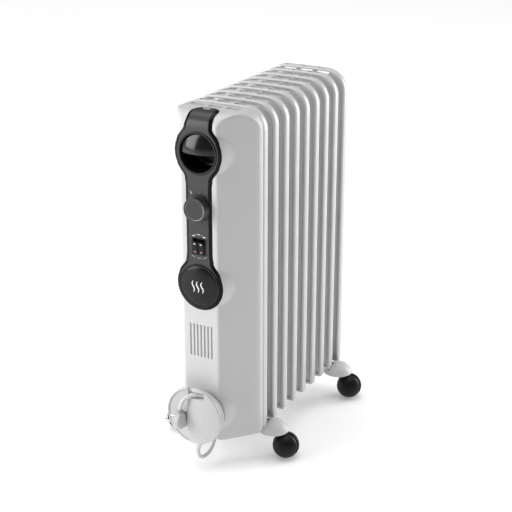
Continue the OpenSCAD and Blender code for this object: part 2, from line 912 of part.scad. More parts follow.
// The two half balls that turn on a caster's axle
module ball_wheels(side, y) {
    axle_x = side * (swivel_x + caster_trail);
    inner = web_half + side_gap;
    color(black_colour) for (face = [-1, 1]) {
        difference() {
            translate([axle_x, y, ball_z]) sphere(r = ball_r);
            translate([axle_x - 50, face > 0 ? y - 50 : y - inner, -10]) cube([100, 50 + inner, 70]);
            rod_y(axle_r + fit, y - 18.3, y + 18.3, axle_x, ball_z);
        }
    }
}

// ---- nodes ----

for (i = [0:fin_count - 1]) {
    fin(i);
}
header_collars();
header_caps();
filler_plug();
element_flange();
heating_elements();
element_terminals();
back_plate();
housing_shell();
fascia();
grip_cup();
handle_dome();
badge_disc();
thermostat_body();
thermostat_nut();
thermostat_shaft();
knob();
switch_frame();
switch_contacts();
rocker(-rocker_x);  // rocker_left
rocker(rocker_x);  // rocker_right
thermal_cutout();
terminal_block();
wiring();
earth_screw();
screws();
reel_drum();
reel_flange();
cord_gland();
cord_clamp();
cord_lead();
cord_coil();
cord_tail();
plug_body();
plug_pins();
foot_bar(foot_front_y);  // foot_bar_front
foot_bar(foot_rear_y);  // foot_bar_rear
u_bolts();
wing_nuts();
caster_bushes();
for (end = ["front", "rear"]) {
    for (hand = ["right", "left"]) {
        side = hand == "right" ? 1 : -1;
        y = end == "front" ? foot_front_y : foot_rear_y;
        foot_cap(side, y);
        caster_yoke(side, y);
        ball_wheels(side, y);
    }
}
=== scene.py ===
"""Looks of the oil filled radiator heater. Sizes are in millimetres until a mesh or curve is made."""
import json
from math import acos, asin, atan2, copysign, cos, exp, hypot, pi, radians, sin, sqrt, tan

import bmesh
import bpy
from mathutils import Matrix, Vector


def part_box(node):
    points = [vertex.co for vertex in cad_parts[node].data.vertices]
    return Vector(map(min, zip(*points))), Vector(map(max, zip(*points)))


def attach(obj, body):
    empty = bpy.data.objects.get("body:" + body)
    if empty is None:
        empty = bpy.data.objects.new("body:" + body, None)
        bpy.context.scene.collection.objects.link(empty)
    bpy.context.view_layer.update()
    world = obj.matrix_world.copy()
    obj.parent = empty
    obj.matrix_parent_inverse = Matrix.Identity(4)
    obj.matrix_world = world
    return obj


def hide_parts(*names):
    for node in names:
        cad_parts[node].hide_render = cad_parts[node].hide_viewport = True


MM = 0.001
X, Y, Z = 0, 1, 2
LOW, HIGH = 0, 1
OTHER_AXES = {X: (Y, Z), Y: (X, Z), Z: (X, Y)}

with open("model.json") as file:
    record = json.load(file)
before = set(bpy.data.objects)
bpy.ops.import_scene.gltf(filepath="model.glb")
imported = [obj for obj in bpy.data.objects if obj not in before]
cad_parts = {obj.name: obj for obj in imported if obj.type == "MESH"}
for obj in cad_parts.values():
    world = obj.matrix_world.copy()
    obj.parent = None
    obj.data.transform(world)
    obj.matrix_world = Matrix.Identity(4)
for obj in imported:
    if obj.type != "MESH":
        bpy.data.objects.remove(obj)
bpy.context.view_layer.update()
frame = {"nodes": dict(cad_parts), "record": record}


# ---- places, read from the CAD nodes ----


def edge(node, side, axis):
    """Where a CAD node starts or ends along an axis, in mm."""
    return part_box(node)[side][axis] / MM


def middle(node, axis):
    return (edge(node, LOW, axis) + edge(node, HIGH, axis)) / 2


def size(node, axis):
    return edge(node, HIGH, axis) - edge(node, LOW, axis)


FACE_Y = edge("housing_shell", LOW, Y)
HOUSE_BACK_Y = edge("housing_shell", HIGH, Y)
HOUSE_LOW_Z = edge("housing_shell", LOW, Z)
HOUSE_TOP_Z = edge("housing_shell", HIGH, Z)
HOUSE_HALF_W = edge("housing_shell", HIGH, X)
GRIP_Z = middle("grip_cup", Z)
KNOB_Z = middle("knob", Z)
SWITCH_Z = middle("switch_frame", Z)
BADGE_Z = middle("badge_disc", Z)
REEL_Z = middle("reel_drum", Z)
REEL_Y = edge("reel_drum", LOW, Y)
REEL_R = edge("reel_flange", HIGH, X)
PLUG_X = middle("plug_body", X)
PLUG_Y = middle("plug_body", Y)
PLUG_R = size("plug_body", Y) / 2
PLUG_Z = edge("plug_body", LOW, Z) + PLUG_R
FIN_NAMES = [n for n in frame["nodes"] if n.startswith("fin_")]
FIN_HALF_W = edge("fin_1", HIGH, X)
FIN_LOW_Z = edge("fin_1", LOW, Z)
FIN_TOP_Z = edge("fin_1", HIGH, Z)
FIN_BAND = size("fin_1", Y)
CORNERS = ["front_right", "front_left", "rear_right", "rear_left"]


# ---- small tools ----


def smooth_max(a, b, k):
    """The larger of two values, with a soft change over about k."""
    return 0.5 * (a + b + sqrt((a - b) ** 2 + k * k))


def smooth_min(a, b, k):
    """The smaller of two values, with a soft change over about k."""
    return 0.5 * (a + b - sqrt((a - b) ** 2 + k * k))


def smooth_step(low, high, value):
    """0 up to low, 1 from high, and a soft rise between them."""
    t = min(1, max(0, (value - low) / (high - low)))
    return t * t * (3 - 2 * t)


def round_over(d, r):
    """How far an edge of radius r has dropped at distance d from it."""
    return 0 if d >= r else r - sqrt(max(0, r * r - (r - d) ** 2))


def spaced(low, high, step):
    """Evenly spaced values from low to high, about step apart."""
    count = max(1, round((high - low) / step))
    return [low + (high - low) * i / count for i in range(count + 1)]


def rounded(points, radii, steps=5, closed=False):
    """A 2-D line with an arc in place of each corner. A radius is given for each point."""
    out = []
    last = len(points) - 1
    for i, (p, r) in enumerate(zip(points, radii)):
        if r == 0 or (not closed and i in (0, last)):
            out.append(tuple(p))
            continue
        here = Vector(p)
        before = (Vector(points[i - 1]) - here).normalized()
        after = (Vector(points[(i + 1) % (last + 1)]) - here).normalized()
        half = before.angle(after) / 2
        start = here + before * (r / tan(half))
        centre = here + (before + after).normalized() * (r / sin(half))
        arm = start - centre
        turn = (pi - 2 * half) * (1 if before.cross(after) < 0 else -1)
        for k in range(steps + 1):
            a = turn * k / steps
            out.append((
                centre.x + arm.x * cos(a) - arm.y * sin(a),
                centre.y + arm.x * sin(a) + arm.y * cos(a),
            ))
    return out


def shade(ob, angle=35):
    """Smooth faces, with an edge kept sharp where its faces meet at more than the angle."""
    bm = bmesh.new()
    bm.from_mesh(ob.data)
    bmesh.ops.recalc_face_normals(bm, faces=bm.faces)
    for face in bm.faces:
        face.smooth = True
    for line in bm.edges:
        line.smooth = len(line.link_faces) == 2 and line.calc_face_angle(0) < radians(angle)
    bm.to_mesh(ob.data)
    bm.free()
    return ob


def new_object(name, data):
    ob = bpy.data.objects.new(name, data)
    bpy.context.collection.objects.link(ob)
    return ob


def mesh_object(name, points, faces, angle=35):
    data = bpy.data.meshes.new(name)
    data.from_pydata([(p[0] * MM, p[1] * MM, p[2] * MM) for p in points], [], faces)
    data.validate()
    return shade(new_object(name, data), angle)


def grid_faces(rows, columns, wrap=False, first=0):
    """Four-sided faces between rows of points, where first is the number of the first point."""
    faces = []
    for i in range(rows - 1):
        for j in range(columns if wrap else columns - 1):
            k = (j + 1) % columns
            a, b = first + i * columns, first + (i + 1) * columns
            faces.append((a + j, a + k, b + k, b + j))
    return faces


def loft(name, rings, angle=35):
    """Closed rings of equal length, joined one to the next and closed at both ends."""
    count = len(rings[0])
    points = [p for ring in rings for p in ring]
    faces = grid_faces(len(rings), count, wrap=True)
    faces.append(tuple(reversed(range(count))))
    faces.append(tuple(range(len(points) - count, len(points))))
    return mesh_object(name, points, faces, angle)


def thick_sheet(name, tops, unders, faces, angle=35):
    """A sheet between two sets of points that share their faces, closed all round its edges."""
    used = {(a, b) for face in faces for a, b in zip(face, face[1:] + face[:1])}
    count = len(tops)
    walls = [(b, a, a + count, b + count) for a, b in used if (b, a) not in used]
    under = [tuple(k + count for k in reversed(face)) for face in faces]
    ob = mesh_object(name, tops + unders, faces + under + walls, angle)
    bm = bmesh.new()
    bm.from_mesh(ob.data)
    bmesh.ops.delete(bm, geom=[v for v in bm.verts if not v.link_faces], context="VERTS")
    bmesh.ops.remove_doubles(bm, verts=bm.verts, dist=0.01 * MM)
    bm.to_mesh(ob.data)
    bm.free()
    return shade(ob, angle)


def lathe(name, profile, centre, axis=Y, steps=96, angle=35):
    """A profile of (radius, distance along the axis) turned about the axis through centre."""
    others = OTHER_AXES[axis]
    points, faces, rows = [], [], []
    for r, h in profile:
        row = []
        for k in range(1 if r < 1e-6 else steps):
            p = list(centre)
            p[axis] += h
            p[others[0]] += r * cos(2 * pi * k / steps)
            p[others[1]] += r * sin(2 * pi * k / steps)
            row.append(len(points))
            points.append(p)
        rows.append(row)
    for a, b in zip(rows, rows[1:]):
        for k in range(steps):
            n = (k + 1) % steps
            corners = [a[k % len(a)], a[n % len(a)], b[n % len(b)], b[k % len(b)]]
            face = [c for i, c in enumerate(corners) if c not in corners[:i]]
            if len(face) > 2:
                faces.append(tuple(face))
    return mesh_object(name, points, faces, angle)


def extruded(name, outline, axis, start, end, bevel=0.6, angle=30):
    """A closed 2-D outline, extruded along an axis, with rounded edges."""
    others = OTHER_AXES[axis]
    rings = []
    for level in (start, end):
        ring = []
        for u, v in outline:
            p = [0, 0, 0]
            p[axis], p[others[0]], p[others[1]] = level, u, v
            ring.append(p)
        rings.append(ring)
    ob = loft(name, rings, angle=angle)
    if bevel:
        mod = ob.modifiers.new("soft_edges", "BEVEL")
        mod.width = bevel * MM
        mod.segments = 3
        mod.limit_method = "ANGLE"
        mod.angle_limit = radians(40)
        bake(ob)
    return shade(ob, angle)


def prism(outline, axis, start, end):
    """A sharp-edged extrusion, to be cut out of a piece or joined to one."""
    return extruded("prism", outline, axis, start, end, bevel=0)


def bake(ob):
    """Puts the result of the modifiers into the mesh."""
    graph = bpy.context.evaluated_depsgraph_get()
    data = bpy.data.meshes.new_from_object(ob.evaluated_get(graph))
    ob.modifiers.clear()
    ob.data = data
    return ob


def join(name, objects, angle=35):
    """One object from several."""
    bm = bmesh.new()
    for ob in objects:
        bm.from_mesh(ob.data)
        bpy.data.objects.remove(ob)
    data = bpy.data.meshes.new(name)
    bm.to_mesh(data)
    bm.free()
    return shade(new_object(name, data), angle)


def cut(ob, cutters, angle=35):
    """Cuts the space of the cutters, which don't touch each other, out of ob."""
    tool = join("cutter", cutters)
    mod = ob.modifiers.new("cut", "BOOLEAN")
    mod.operation = "DIFFERENCE"
    mod.solver = "EXACT"
    mod.object = tool
    bake(ob)
    bpy.data.objects.remove(tool)
    return shade(ob, angle)


def box_outline(cx, cz, w, h, r, steps=6):
    """A rectangle with rounded corners, given by its middle and its size."""
    left, right = cx - w / 2, cx + w / 2
    low, high = cz - h / 2, cz + h / 2
    return rounded([(left, low), (right, low), (right, high), (left, high)], [r] * 4, steps, closed=True)


def circle_outline(cx, cz, r, steps=64):
    turn = 2 * pi / steps
    return [(cx + r * cos(turn * k), cz + r * sin(turn * k)) for k in range(steps)]


def arc_line(cx, cz, rx, rz, start, turn, steps):
    """Points along an arc, which starts at an angle and goes on for a turn, both in radians."""
    angles = [start + turn * k / steps for k in range(steps + 1)]
    return [(cx + rx * cos(a), cz + rz * sin(a)) for a in angles]


def finish_piece(ob, paint=None, body="heater", slot=None, replaces=()):
    """Gives a piece its body and its material, which is the slot's own where no other is given."""
    ob.data.materials.clear()
    ob.data.materials.append(paint or MATERIALS[slot])
    if replaces:
        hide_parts(*replaces)
    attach(ob, body)
    return ob


# ---- materials ----


def node(tree, kind, **values):
    """A new node, with inputs or settings given by name."""
    n = tree.nodes.new(kind)
    for key, value in values.items():
        if key in n.inputs:
            n.inputs[key].default_value = value
        else:
            setattr(n, key, value)
    return n


PLAIN_LOOK = dict(metallic=0, coat=0, coat_rough=0.1, specular=0.5, subsurface=0, glow=0, tint=0.04,
                  patch=0.05, grain=0.0006, relief=0.00004, rough_range=0.05, stretch=(1, 1, 1))


def material(name, base, rough, **changes):
    """Principled surface with uneven colour and roughness, and a fine grain in relief.

    The changes are to the plain look, where tint is the share of colour change, patch is the size in m of the
    uneven areas, and grain and relief are the size and the height in m of the grain."""
    look = {**PLAIN_LOOK, **changes}
    mat = bpy.data.materials.new(name)
    mat.use_nodes = True
    tree = mat.node_tree
    shader = tree.nodes["Principled BSDF"]
    settings = {
        "Metallic": look["metallic"],
        "Coat Weight": look["coat"],
        "Coat Roughness": look["coat_rough"],
        "Specular IOR Level": look["specular"],
        "Subsurface Weight": look["subsurface"],
        "Subsurface Radius": (0.002, 0.002, 0.002),
        "Emission Color": (1, 1, 1, 1),
        "Emission Strength": look["glow"],
    }
    for socket, value in settings.items():
        shader.inputs[socket].default_value = value
    coords = node(tree, "ShaderNodeTexCoord")
    spread = node(tree, "ShaderNodeMapping", Scale=look["stretch"])
    tree.links.new(coords.outputs["Object"], spread.inputs["Vector"])
    patch = node(tree, "ShaderNodeTexNoise", Scale=1 / look["patch"], Detail=4.0)
    grain = node(tree, "ShaderNodeTexNoise", Scale=1 / look["grain"], Detail=3.0)
    for texture in (patch, grain):
        tree.links.new(spread.outputs["Vector"], texture.inputs["Vector"])
    ramp = node(tree, "ShaderNodeValToRGB")
    stops = ramp.color_ramp.elements
    for stop, place, share in zip(stops, (0.3, 0.7), (1 - look["tint"], 1 + look["tint"])):
        stop.color = [min(1, c * share) for c in base] + [1]
        stop.position = place
    tree.links.new(patch.outputs["Fac"], ramp.inputs["Fac"])
    tree.links.new(ramp.outputs["Color"], shader.inputs["Base Color"])
    uneven = node(tree, "ShaderNodeMapRange")
    uneven.inputs["To Min"].default_value = max(0.02, rough - look["rough_range"])
    uneven.inputs["To Max"].default_value = min(1, rough + look["rough_range"])
    tree.links.new(grain.outputs["Fac"], uneven.inputs["Value"])
    tree.links.new(uneven.outputs["Result"], shader.inputs["Roughness"])
    bump = node(tree, "ShaderNodeBump", Strength=0.4, Distance=look["relief"])
    tree.links.new(grain.outputs["Fac"], bump.inputs["Height"])
    tree.links.new(bump.outputs["Normal"], shader.inputs["Normal"])
    return mat


MATERIALS = {
    "fin_paint": material(
        "fin_enamel", (0.60, 0.60, 0.60), 0.34, coat=0.25, coat_rough=0.2, grain=0.0016, relief=0.00005,
        tint=0.02),
    "housing_plastic": material(
        "housing_plastic", (0.57, 0.57, 0.57), 0.42, grain=0.0005, relief=0.00003, tint=0.015,
        subsurface=0.05),
    "reel_plastic": material(
        "reel_plastic", (0.55, 0.55, 0.55), 0.4, grain=0.0005, relief=0.00003, tint=0.02),
    "cap_plastic": material("cap_plastic", (0.64, 0.64, 0.64), 0.38, grain=0.0005, relief=0.00003, tint=0.02),
    "fascia_plastic": material(
        "fascia_plastic", (0.022, 0.022, 0.024), 0.36, grain=0.0004, relief=0.00003, tint=0.08),
    "black_plastic": material(
        "black_plastic", (0.009, 0.009, 0.0095), 0.24, specular=0.25, grain=0.003, relief=0.00001, tint=0.1),
    "dome_gloss": material(
        "grip_gloss", (0.004, 0.004, 0.0045), 0.18, specular=0.42, grain=0.003, relief=0.00001, tint=0.08,
        rough_range=0.03),
    "badge_gloss": material(
        "badge_gloss", (0.005, 0.005, 0.0055), 0.24, specular=0.24, grain=0.003, relief=0.00001, tint=0.08,
        rough_range=0.03),
    "knob_plastic": material(
        "knob_plastic", (0.014, 0.014, 0.015), 0.32, grain=0.0004, relief=0.00002, tint=0.08),
    "rocker_plastic": material(
        "rocker_plastic", (0.006, 0.005, 0.005), 0.4, specular=0.2, grain=0.001, relief=0.00001),
    "ball_plastic": material(
        "ball_plastic", (0.006, 0.006, 0.006), 0.42, specular=0.2, grain=0.0007, tint=0.12, patch=0.012),
    "yoke_nylon": material("yoke_nylon", (0.014, 0.014, 0.014), 0.45, grain=0.0005, tint=0.1),
    "cord_pvc": material(
        "cord_pvc", (0.62, 0.62, 0.61), 0.42, grain=0.0008, tint=0.03, patch=0.02, subsurface=0.08),
    "plug_plastic": material("plug_pvc", (0.50, 0.50, 0.49), 0.4, tint=0.03, subsurface=0.08),
    "plug_nickel": material(
        "pin_nickel", (0.42, 0.41, 0.39), 0.22, metallic=1, grain=0.0004, relief=0.00001, stretch=(1, 6, 6)),
    "bare_steel": material(
        "rolled_steel", (0.55, 0.55, 0.56), 0.36, metallic=1, grain=0.0005, stretch=(1, 1, 12)),
    "zinc_steel": material(
        "zinc_steel", (0.62, 0.62, 0.64), 0.3, metallic=1, patch=0.008, tint=0.12, grain=0.0008),
    "element_steel": material("element_steel", (0.36, 0.34, 0.33), 0.45, metallic=1, patch=0.015, tint=0.2),
    "brass": material("dull_brass", (0.58, 0.42, 0.17), 0.36, metallic=1, patch=0.01, tint=0.12),
    "ceramic": material("glazed_ceramic", (0.78, 0.75, 0.68), 0.2, coat=0.4, patch=0.006),
    "phenolic": material("phenolic", (0.09, 0.05, 0.03), 0.45, patch=0.006, tint=0.2),
    "nylon": material("natural_nylon", (0.74, 0.72, 0.64), 0.45, patch=0.01, subsurface=0.1),
    "wire_insulation": material("wire_sleeve", (0.30, 0.10, 0.05), 0.5, patch=0.01, tint=0.1),
}
PRINT_WHITE = material("white_print", (0.78, 0.78, 0.78), 0.5, grain=0.0003, relief=0.00001)
PRINT_GREY = material("grey_print", (0.42, 0.42, 0.42), 0.5, grain=0.0003, relief=0.00001)
RED_LENS = material("red_lens", (0.26, 0.09, 0.08), 0.25, coat=0.5, grain=0.002, relief=0.00001,
                    subsurface=0.2)
PALE_FLOOR = material("pale_floor", (0.90, 0.90, 0.90), 0.7, patch=0.4, tint=0.004, relief=0.00001, glow=0.23)
# Darker, less reflective copy of the fascia plastic for its rounded border: painted shade for the edge that
# turns away from the light
BORDER_PAINTED_SHADE = material("border_painted_shade", (0.005, 0.005, 0.0055), 0.22, specular=0.12, grain=0.002,
                        relief=0.00001, tint=0.1)
# Grey for the floors of the shallow top pockets: painted shade that stands in for deep openings
POCKET_PAINTED_SHADE = material("pocket_painted_shade", (0.40, 0.40, 0.40), 0.6, grain=0.0008, relief=0.00008, tint=0.05)
PIN_SLEEVE = material("pin_sleeve", (0.40, 0.40, 0.39), 0.45, grain=0.0005, relief=0.00002)


def dress_cad_nodes():
    """Each CAD node that stays visible gets its slot's procedural material."""
    for part in frame["record"]["subparts"]:
        ob = frame["nodes"][part["node"]]
        paint = MATERIALS[part["material_slot"]]
        for place in ob.material_slots:
            place.material = paint
        if not ob.material_slots:
            ob.data.materials.append(paint)


# ---- camera ----

CAMERA_AT = (1.025, -1.844, 1.151)
CAMERA_YAW = 28.9
CAMERA_PITCH = 21.1
CAMERA_LENS = 89.1


def make_camera():
    data = bpy.data.cameras.new("camera")
    data.sensor_width = 36
    data.lens = CAMERA_LENS
    data.clip_start = 0.05
    camera = new_object("camera", data)
    camera.location = CAMERA_AT
    camera.rotation_euler = (radians(90 - CAMERA_PITCH), 0, radians(CAMERA_YAW))
    bpy.context.scene.camera = camera


# ---- cord ----

CORD_D = 7
LEAD_ROUTE = [
    (0, 41, 41.5), (0, 39, 34), (0, 33, 26), (0, 24, 20), (0, 14, 18), (0, 3, 18), (0, -7, 22),
    (0, -15, 30), (1, -19, 40), (3, -19, 50), (8, -17, 60), (16, -12, 68), (26, -6, 76),
]
TAIL_ROUTE = [
    (26, -19.6, 145.6), (21.8, -19.9, 148.9), (17, -21.2, 151.8), (11.8, -23.8, 154.1), (6, -27.6, 155.4),
    (-0.5, -32, 155), (-6.5, -36.4, 152.2), (-11.8, -40.6, 147.4), (-15.3, -43.8, 140.6), (-16.8, -45.4, 133),
    (-17, -45.5, 126),
]
INNER_R = 34.5
OUTER_R = 41.7
TURN_Y = [-4.4, -12, -19.6]
POINTS_PER_TURN = 20
# (from one of TURN_Y, to another, after this many turns)
SIDE_STEPS = [(0, 1, 1.1), (1, 2, 2.1), (2, 1, 3.3), (1, 2, 4.3)]
STEP_LENGTH = 0.4
LEAD_BACK = 45


def wound_route():
    """Centre of the wound cord: three turns on the drum from back to front, then two more on top of them."""
    lead_x, lead_y, lead_z = LEAD_ROUTE[-1]
    start = atan2(lead_z - REEL_Z, lead_x)
    start_r = hypot(lead_z - REEL_Z, lead_x)
    end = atan2(TAIL_ROUTE[0][2] - REEL_Z, TAIL_ROUTE[0][0])
    turns = 5 + (end - start) / (2 * pi)
    count = round(turns * POINTS_PER_TURN)
    points = []
    for k in range(1, count):
        t = turns * k / count
        angle = start + 2 * pi * t
        inward = smooth_step(0, 0.5, t)
        lift = smooth_step(SIDE_STEPS[2][2], SIDE_STEPS[2][2] + STEP_LENGTH, t)
        r = start_r + (INNER_R - start_r) * inward + (OUTER_R - INNER_R) * lift
        y = lead_y + (TURN_Y[0] - lead_y) * inward
        for a, b, after in SIDE_STEPS:
            y += (TURN_Y[b] - TURN_Y[a]) * smooth_step(after, after + STEP_LENGTH, t)
        points.append((r * cos(angle), y, REEL_Z + r * sin(angle)))
    return points


def make_cord():
    route = LEAD_ROUTE + wound_route() + TAIL_ROUTE
    data = bpy.data.curves.new("mains_lead", "CURVE")
    data.dimensions = "3D"
    data.bevel_depth = CORD_D / 2 * MM
    data.bevel_resolution = 6
    data.resolution_u = 6
    data.use_fill_caps = True
    spline = data.splines.new("NURBS")
    spline.points.add(len(route) - 1)
    for point, (x, back, z) in zip(spline.points, route):
        point.co = (x * MM, (FACE_Y + back) * MM, z * MM, 1)
    spline.order_u = 4
    spline.use_endpoint_u = True
    cord = new_object("mains_lead", data)
    finish_piece(cord, slot="cord_pvc", replaces=("cord_lead", "cord_coil", "cord_tail"))
    return cord, route


# ---- fins ----

FIN_CORNER = 38
FIN_FOOT = 4
FIN_CROWN = 2.0
FIN_CORNER_STEPS = 12
RIM_HALF = FIN_BAND / 2
# (distance in from the outline, half the fin's thickness there)
FIN_PROFILE = [
    (0, 0), (0.05, 3.0), (0.25, 5.2), (0.9, RIM_HALF - 0.9), (1.9, RIM_HALF - 0.2), (3.0, RIM_HALF),
    (4.1, RIM_HALF - 0.2), (4.7, RIM_HALF - 0.9), (4.9, 4.6), (5.2, 2.6), (6.2, 1.9), (9.0, 1.7), (10.6, 2.3),
    (12.0, 3.4), (13.6, 3.9), (16.0, 4.0), (34.0, 4.0),
]
FIN_SLOT_X = (-33.5, 0, 33.5)
FIN_SLOT_L = 24
FIN_SLOT_W = 8
FIN_SLOT_R = 2.5
FIN_SLOT_DEPTH = 11
CHANNEL_LOW_Z = 103
CHANNEL_TOP_Z = 589
# (radius, half the fin's thickness there)
CHANNEL_PROFILE = [(38.5, 3.6), (37.5, 4.3), (36.4, 5.2), (34.5, 5.5), (25, 5.5)]


def fin_ring(inset, y):
    """The fin's outline, moved inwards, at a distance y from the fin's middle."""
    half = FIN_HALF_W - inset
    top, foot = FIN_TOP_Z - inset, FIN_LOW_Z + inset
    r_top, r_foot = max(2, FIN_CORNER - inset), max(2, FIN_FOOT - inset)
    ring = []
    arcs = [
        (half - r_foot, foot + r_foot, r_foot, -90), (half - r_top, top - r_top, r_top, 0),
        (-half + r_top, top - r_top, r_top, 90), (-half + r_foot, foot + r_foot, r_foot, 180),
    ]
    for cx, cz, r, start in arcs:
        ring += arc_line(cx, cz, r, r, radians(start), pi / 2, FIN_CORNER_STEPS)
    full = []
    for (x0, z0), (x1, z1) in zip(ring, ring[1:] + ring[:1]):
        full.append((x0, z0))
        if hypot(x1 - x0, z1 - z0) > 30:
            full += [(x0 + (x1 - x0) * k / 10, z0 + (z1 - z0) * k / 10) for k in range(1, 10)]
    out = []
    for x, z in full:
        drop = FIN_CROWN * (x / FIN_HALF_W) ** 2 * smooth_step(top - 60, top, z)
        out.append((x, y, z - drop))
    return out


def make_fin_mesh():
    """Rolled rim with a crowned face, a sunk border, a raised panel and the oil channel on both sides."""
    rings = [fin_ring(d, -y) for d, y in reversed(FIN_PROFILE)] + [fin_ring(d, y) for d, y in FIN_PROFILE[1:]]
    body = loft("fin_body", rings)
    slots = []
    for x in FIN_SLOT_X:
        outline = box_outline(x, 0, FIN_SLOT_L, FIN_SLOT_W, FIN_SLOT_R, 5)
        slots.append(prism(outline, Z, FIN_TOP_Z - FIN_SLOT_DEPTH, FIN_TOP_Z + 5))
    cut(body, slots)
    return join("fin_pressing", [body, make_channel(-1), make_channel(1)])


def make_channel(face, steps=48):
    """The raised oil channel between the two headers, on one face of the fin."""
    rings = []
    for r, y in CHANNEL_PROFILE:
        ring = []
        for k in range(steps):
            a = 2 * pi * (k + 0.5) / steps
            z = CHANNEL_TOP_Z if sin(a) > 0 else CHANNEL_LOW_Z
            ring.append((r * cos(a), face * y, z + r * sin(a)))
        rings.append(ring)
    return loft("channel", rings)


def make_fins():
    pattern = make_fin_mesh()
    for name in FIN_NAMES:
        fin = new_object("pressed_" + name, pattern.data)
        fin.location.y = middle(name, Y) * MM
        finish_piece(fin, slot="fin_paint", replaces=(name,))
    bpy.data.objects.remove(pattern)


# ---- housing ----

FRONT_HALF = 34
BAND = 14
BROW_R = 26
TOE_R = 5
HOUSE_CORNER = 30
HOUSE_FOOT = 4
BOSS_R = 46
BOSS_FLARE = 11.6 / 40
EDGE_R = 6
HOUSE_WALL = 2.4
HOUSE_COLUMNS = 97
# (y, distance in from the outline)
BACK_TURN = [(HOUSE_BACK_Y - 1.2, 0), (HOUSE_BACK_Y - 0.3, 0.3), (HOUSE_BACK_Y, 1.0)]
VENTS = 7
VENT_PITCH = 6.84
VENT_Z = 243
POCKET_X = (-34, 0, 34)
POCKET_BACK = 57
SHAFT_HOLE_R = 5.2


def housing_half_width(z):
    high, low = HOUSE_TOP_Z - HOUSE_CORNER, HOUSE_LOW_Z + HOUSE_FOOT
    if z > high:
        return HOUSE_HALF_W - round_over(HOUSE_TOP_Z - z, HOUSE_CORNER)
    if z < low:
        return HOUSE_HALF_W - round_over(z - HOUSE_LOW_Z, HOUSE_FOOT)
    return HOUSE_HALF_W


def rim_distance(x, z):
    """Distance from the housing's outline, seen from the front."""
    cx, cz = HOUSE_HALF_W - HOUSE_CORNER, HOUSE_TOP_Z - HOUSE_CORNER
    if abs(x) > cx and z > cz:
        return max(0, HOUSE_CORNER - hypot(abs(x) - cx, z - cz))
    return max(0, min(HOUSE_HALF_W - abs(x), HOUSE_TOP_Z - z, z - HOUSE_LOW_Z))


def housing_depth(x, z):
    """How far behind the flat front the housing's surface lies."""
    run = HOUSE_BACK_Y - FACE_Y - BAND
    side = (abs(x) - FRONT_HALF) * run / (HOUSE_HALF_W - FRONT_HALF)
    deep = smooth_max(side, 0, 1.6) - 0.05
    over = round_over(HOUSE_TOP_Z - z, BROW_R)
    under = round_over(z - HOUSE_LOW_Z, TOE_R)
    deep = max(0, smooth_max(deep, max(over, under), 5 * smooth_step(0, 6, deep + over + under)))
    for centre in (GRIP_Z, BADGE_Z, REEL_Z):
        r = hypot(x, z - centre)
        cone = smooth_max((r - BOSS_R) / BOSS_FLARE, max(over, under), 1.5)
        deep = smooth_min(deep, cone, min(1.2, deep * 0.2)) if r < 75 else deep
    return max(0, deep) + 0.6 * round_over(rim_distance(x, z), EDGE_R)


def housing_front():
    """Points and faces of the housing from its front to near its back, and the points along its rim."""
    rows_z = [HOUSE_LOW_Z + TOE_R * (1 - cos(pi / 2 * k / 8)) for k in range(9)]
    rows_z += spaced(HOUSE_LOW_Z + TOE_R, HOUSE_TOP_Z - HOUSE_CORNER, 3.2)[1:]
    rows_z += [HOUSE_TOP_Z - HOUSE_CORNER * (1 - sin(pi / 2 * k / 20)) for k in range(1, 21)]
    rows, columns = len(rows_z), HOUSE_COLUMNS
    spread = [-1 + 2 * j / (columns - 1) for j in range(columns)]
    spread = [copysign(1 - (1 - abs(t)) ** 1.5, t) for t in spread]
    points = []
    for z in rows_z:
        half = housing_half_width(z)
        points += [(s * half, FACE_Y + housing_depth(s * half, z), z) for s in spread]
    rim = list(range(columns))
    rim += [i * columns + columns - 1 for i in range(1, rows)]
    rim += [(rows - 1) * columns + j for j in range(columns - 2, -1, -1)]
    rim += [i * columns for i in range(rows - 2, 0, -1)]
    return points, grid_faces(rows, columns), rim


def add_back_edge(points, faces, rim):
    """Goes on from the rim to the housing's back, which turns in a little."""
    middle_z = (HOUSE_LOW_Z + HOUSE_TOP_Z) / 2
    for back, inset in BACK_TURN:
        new = list(range(len(points), len(points) + len(rim)))
        scale_x = 1 - inset / HOUSE_HALF_W
        scale_z = 1 - 2 * inset / (HOUSE_TOP_Z - HOUSE_LOW_Z)
        front = [points[k] for k in rim]
        points += [(x * scale_x, back, middle_z + (z - middle_z) * scale_z) for x, _, z in front]
        for k in range(len(rim)):
            n = (k + 1) % len(rim)
            faces.append((rim[k], rim[n], new[n], new[k]))
        rim = new


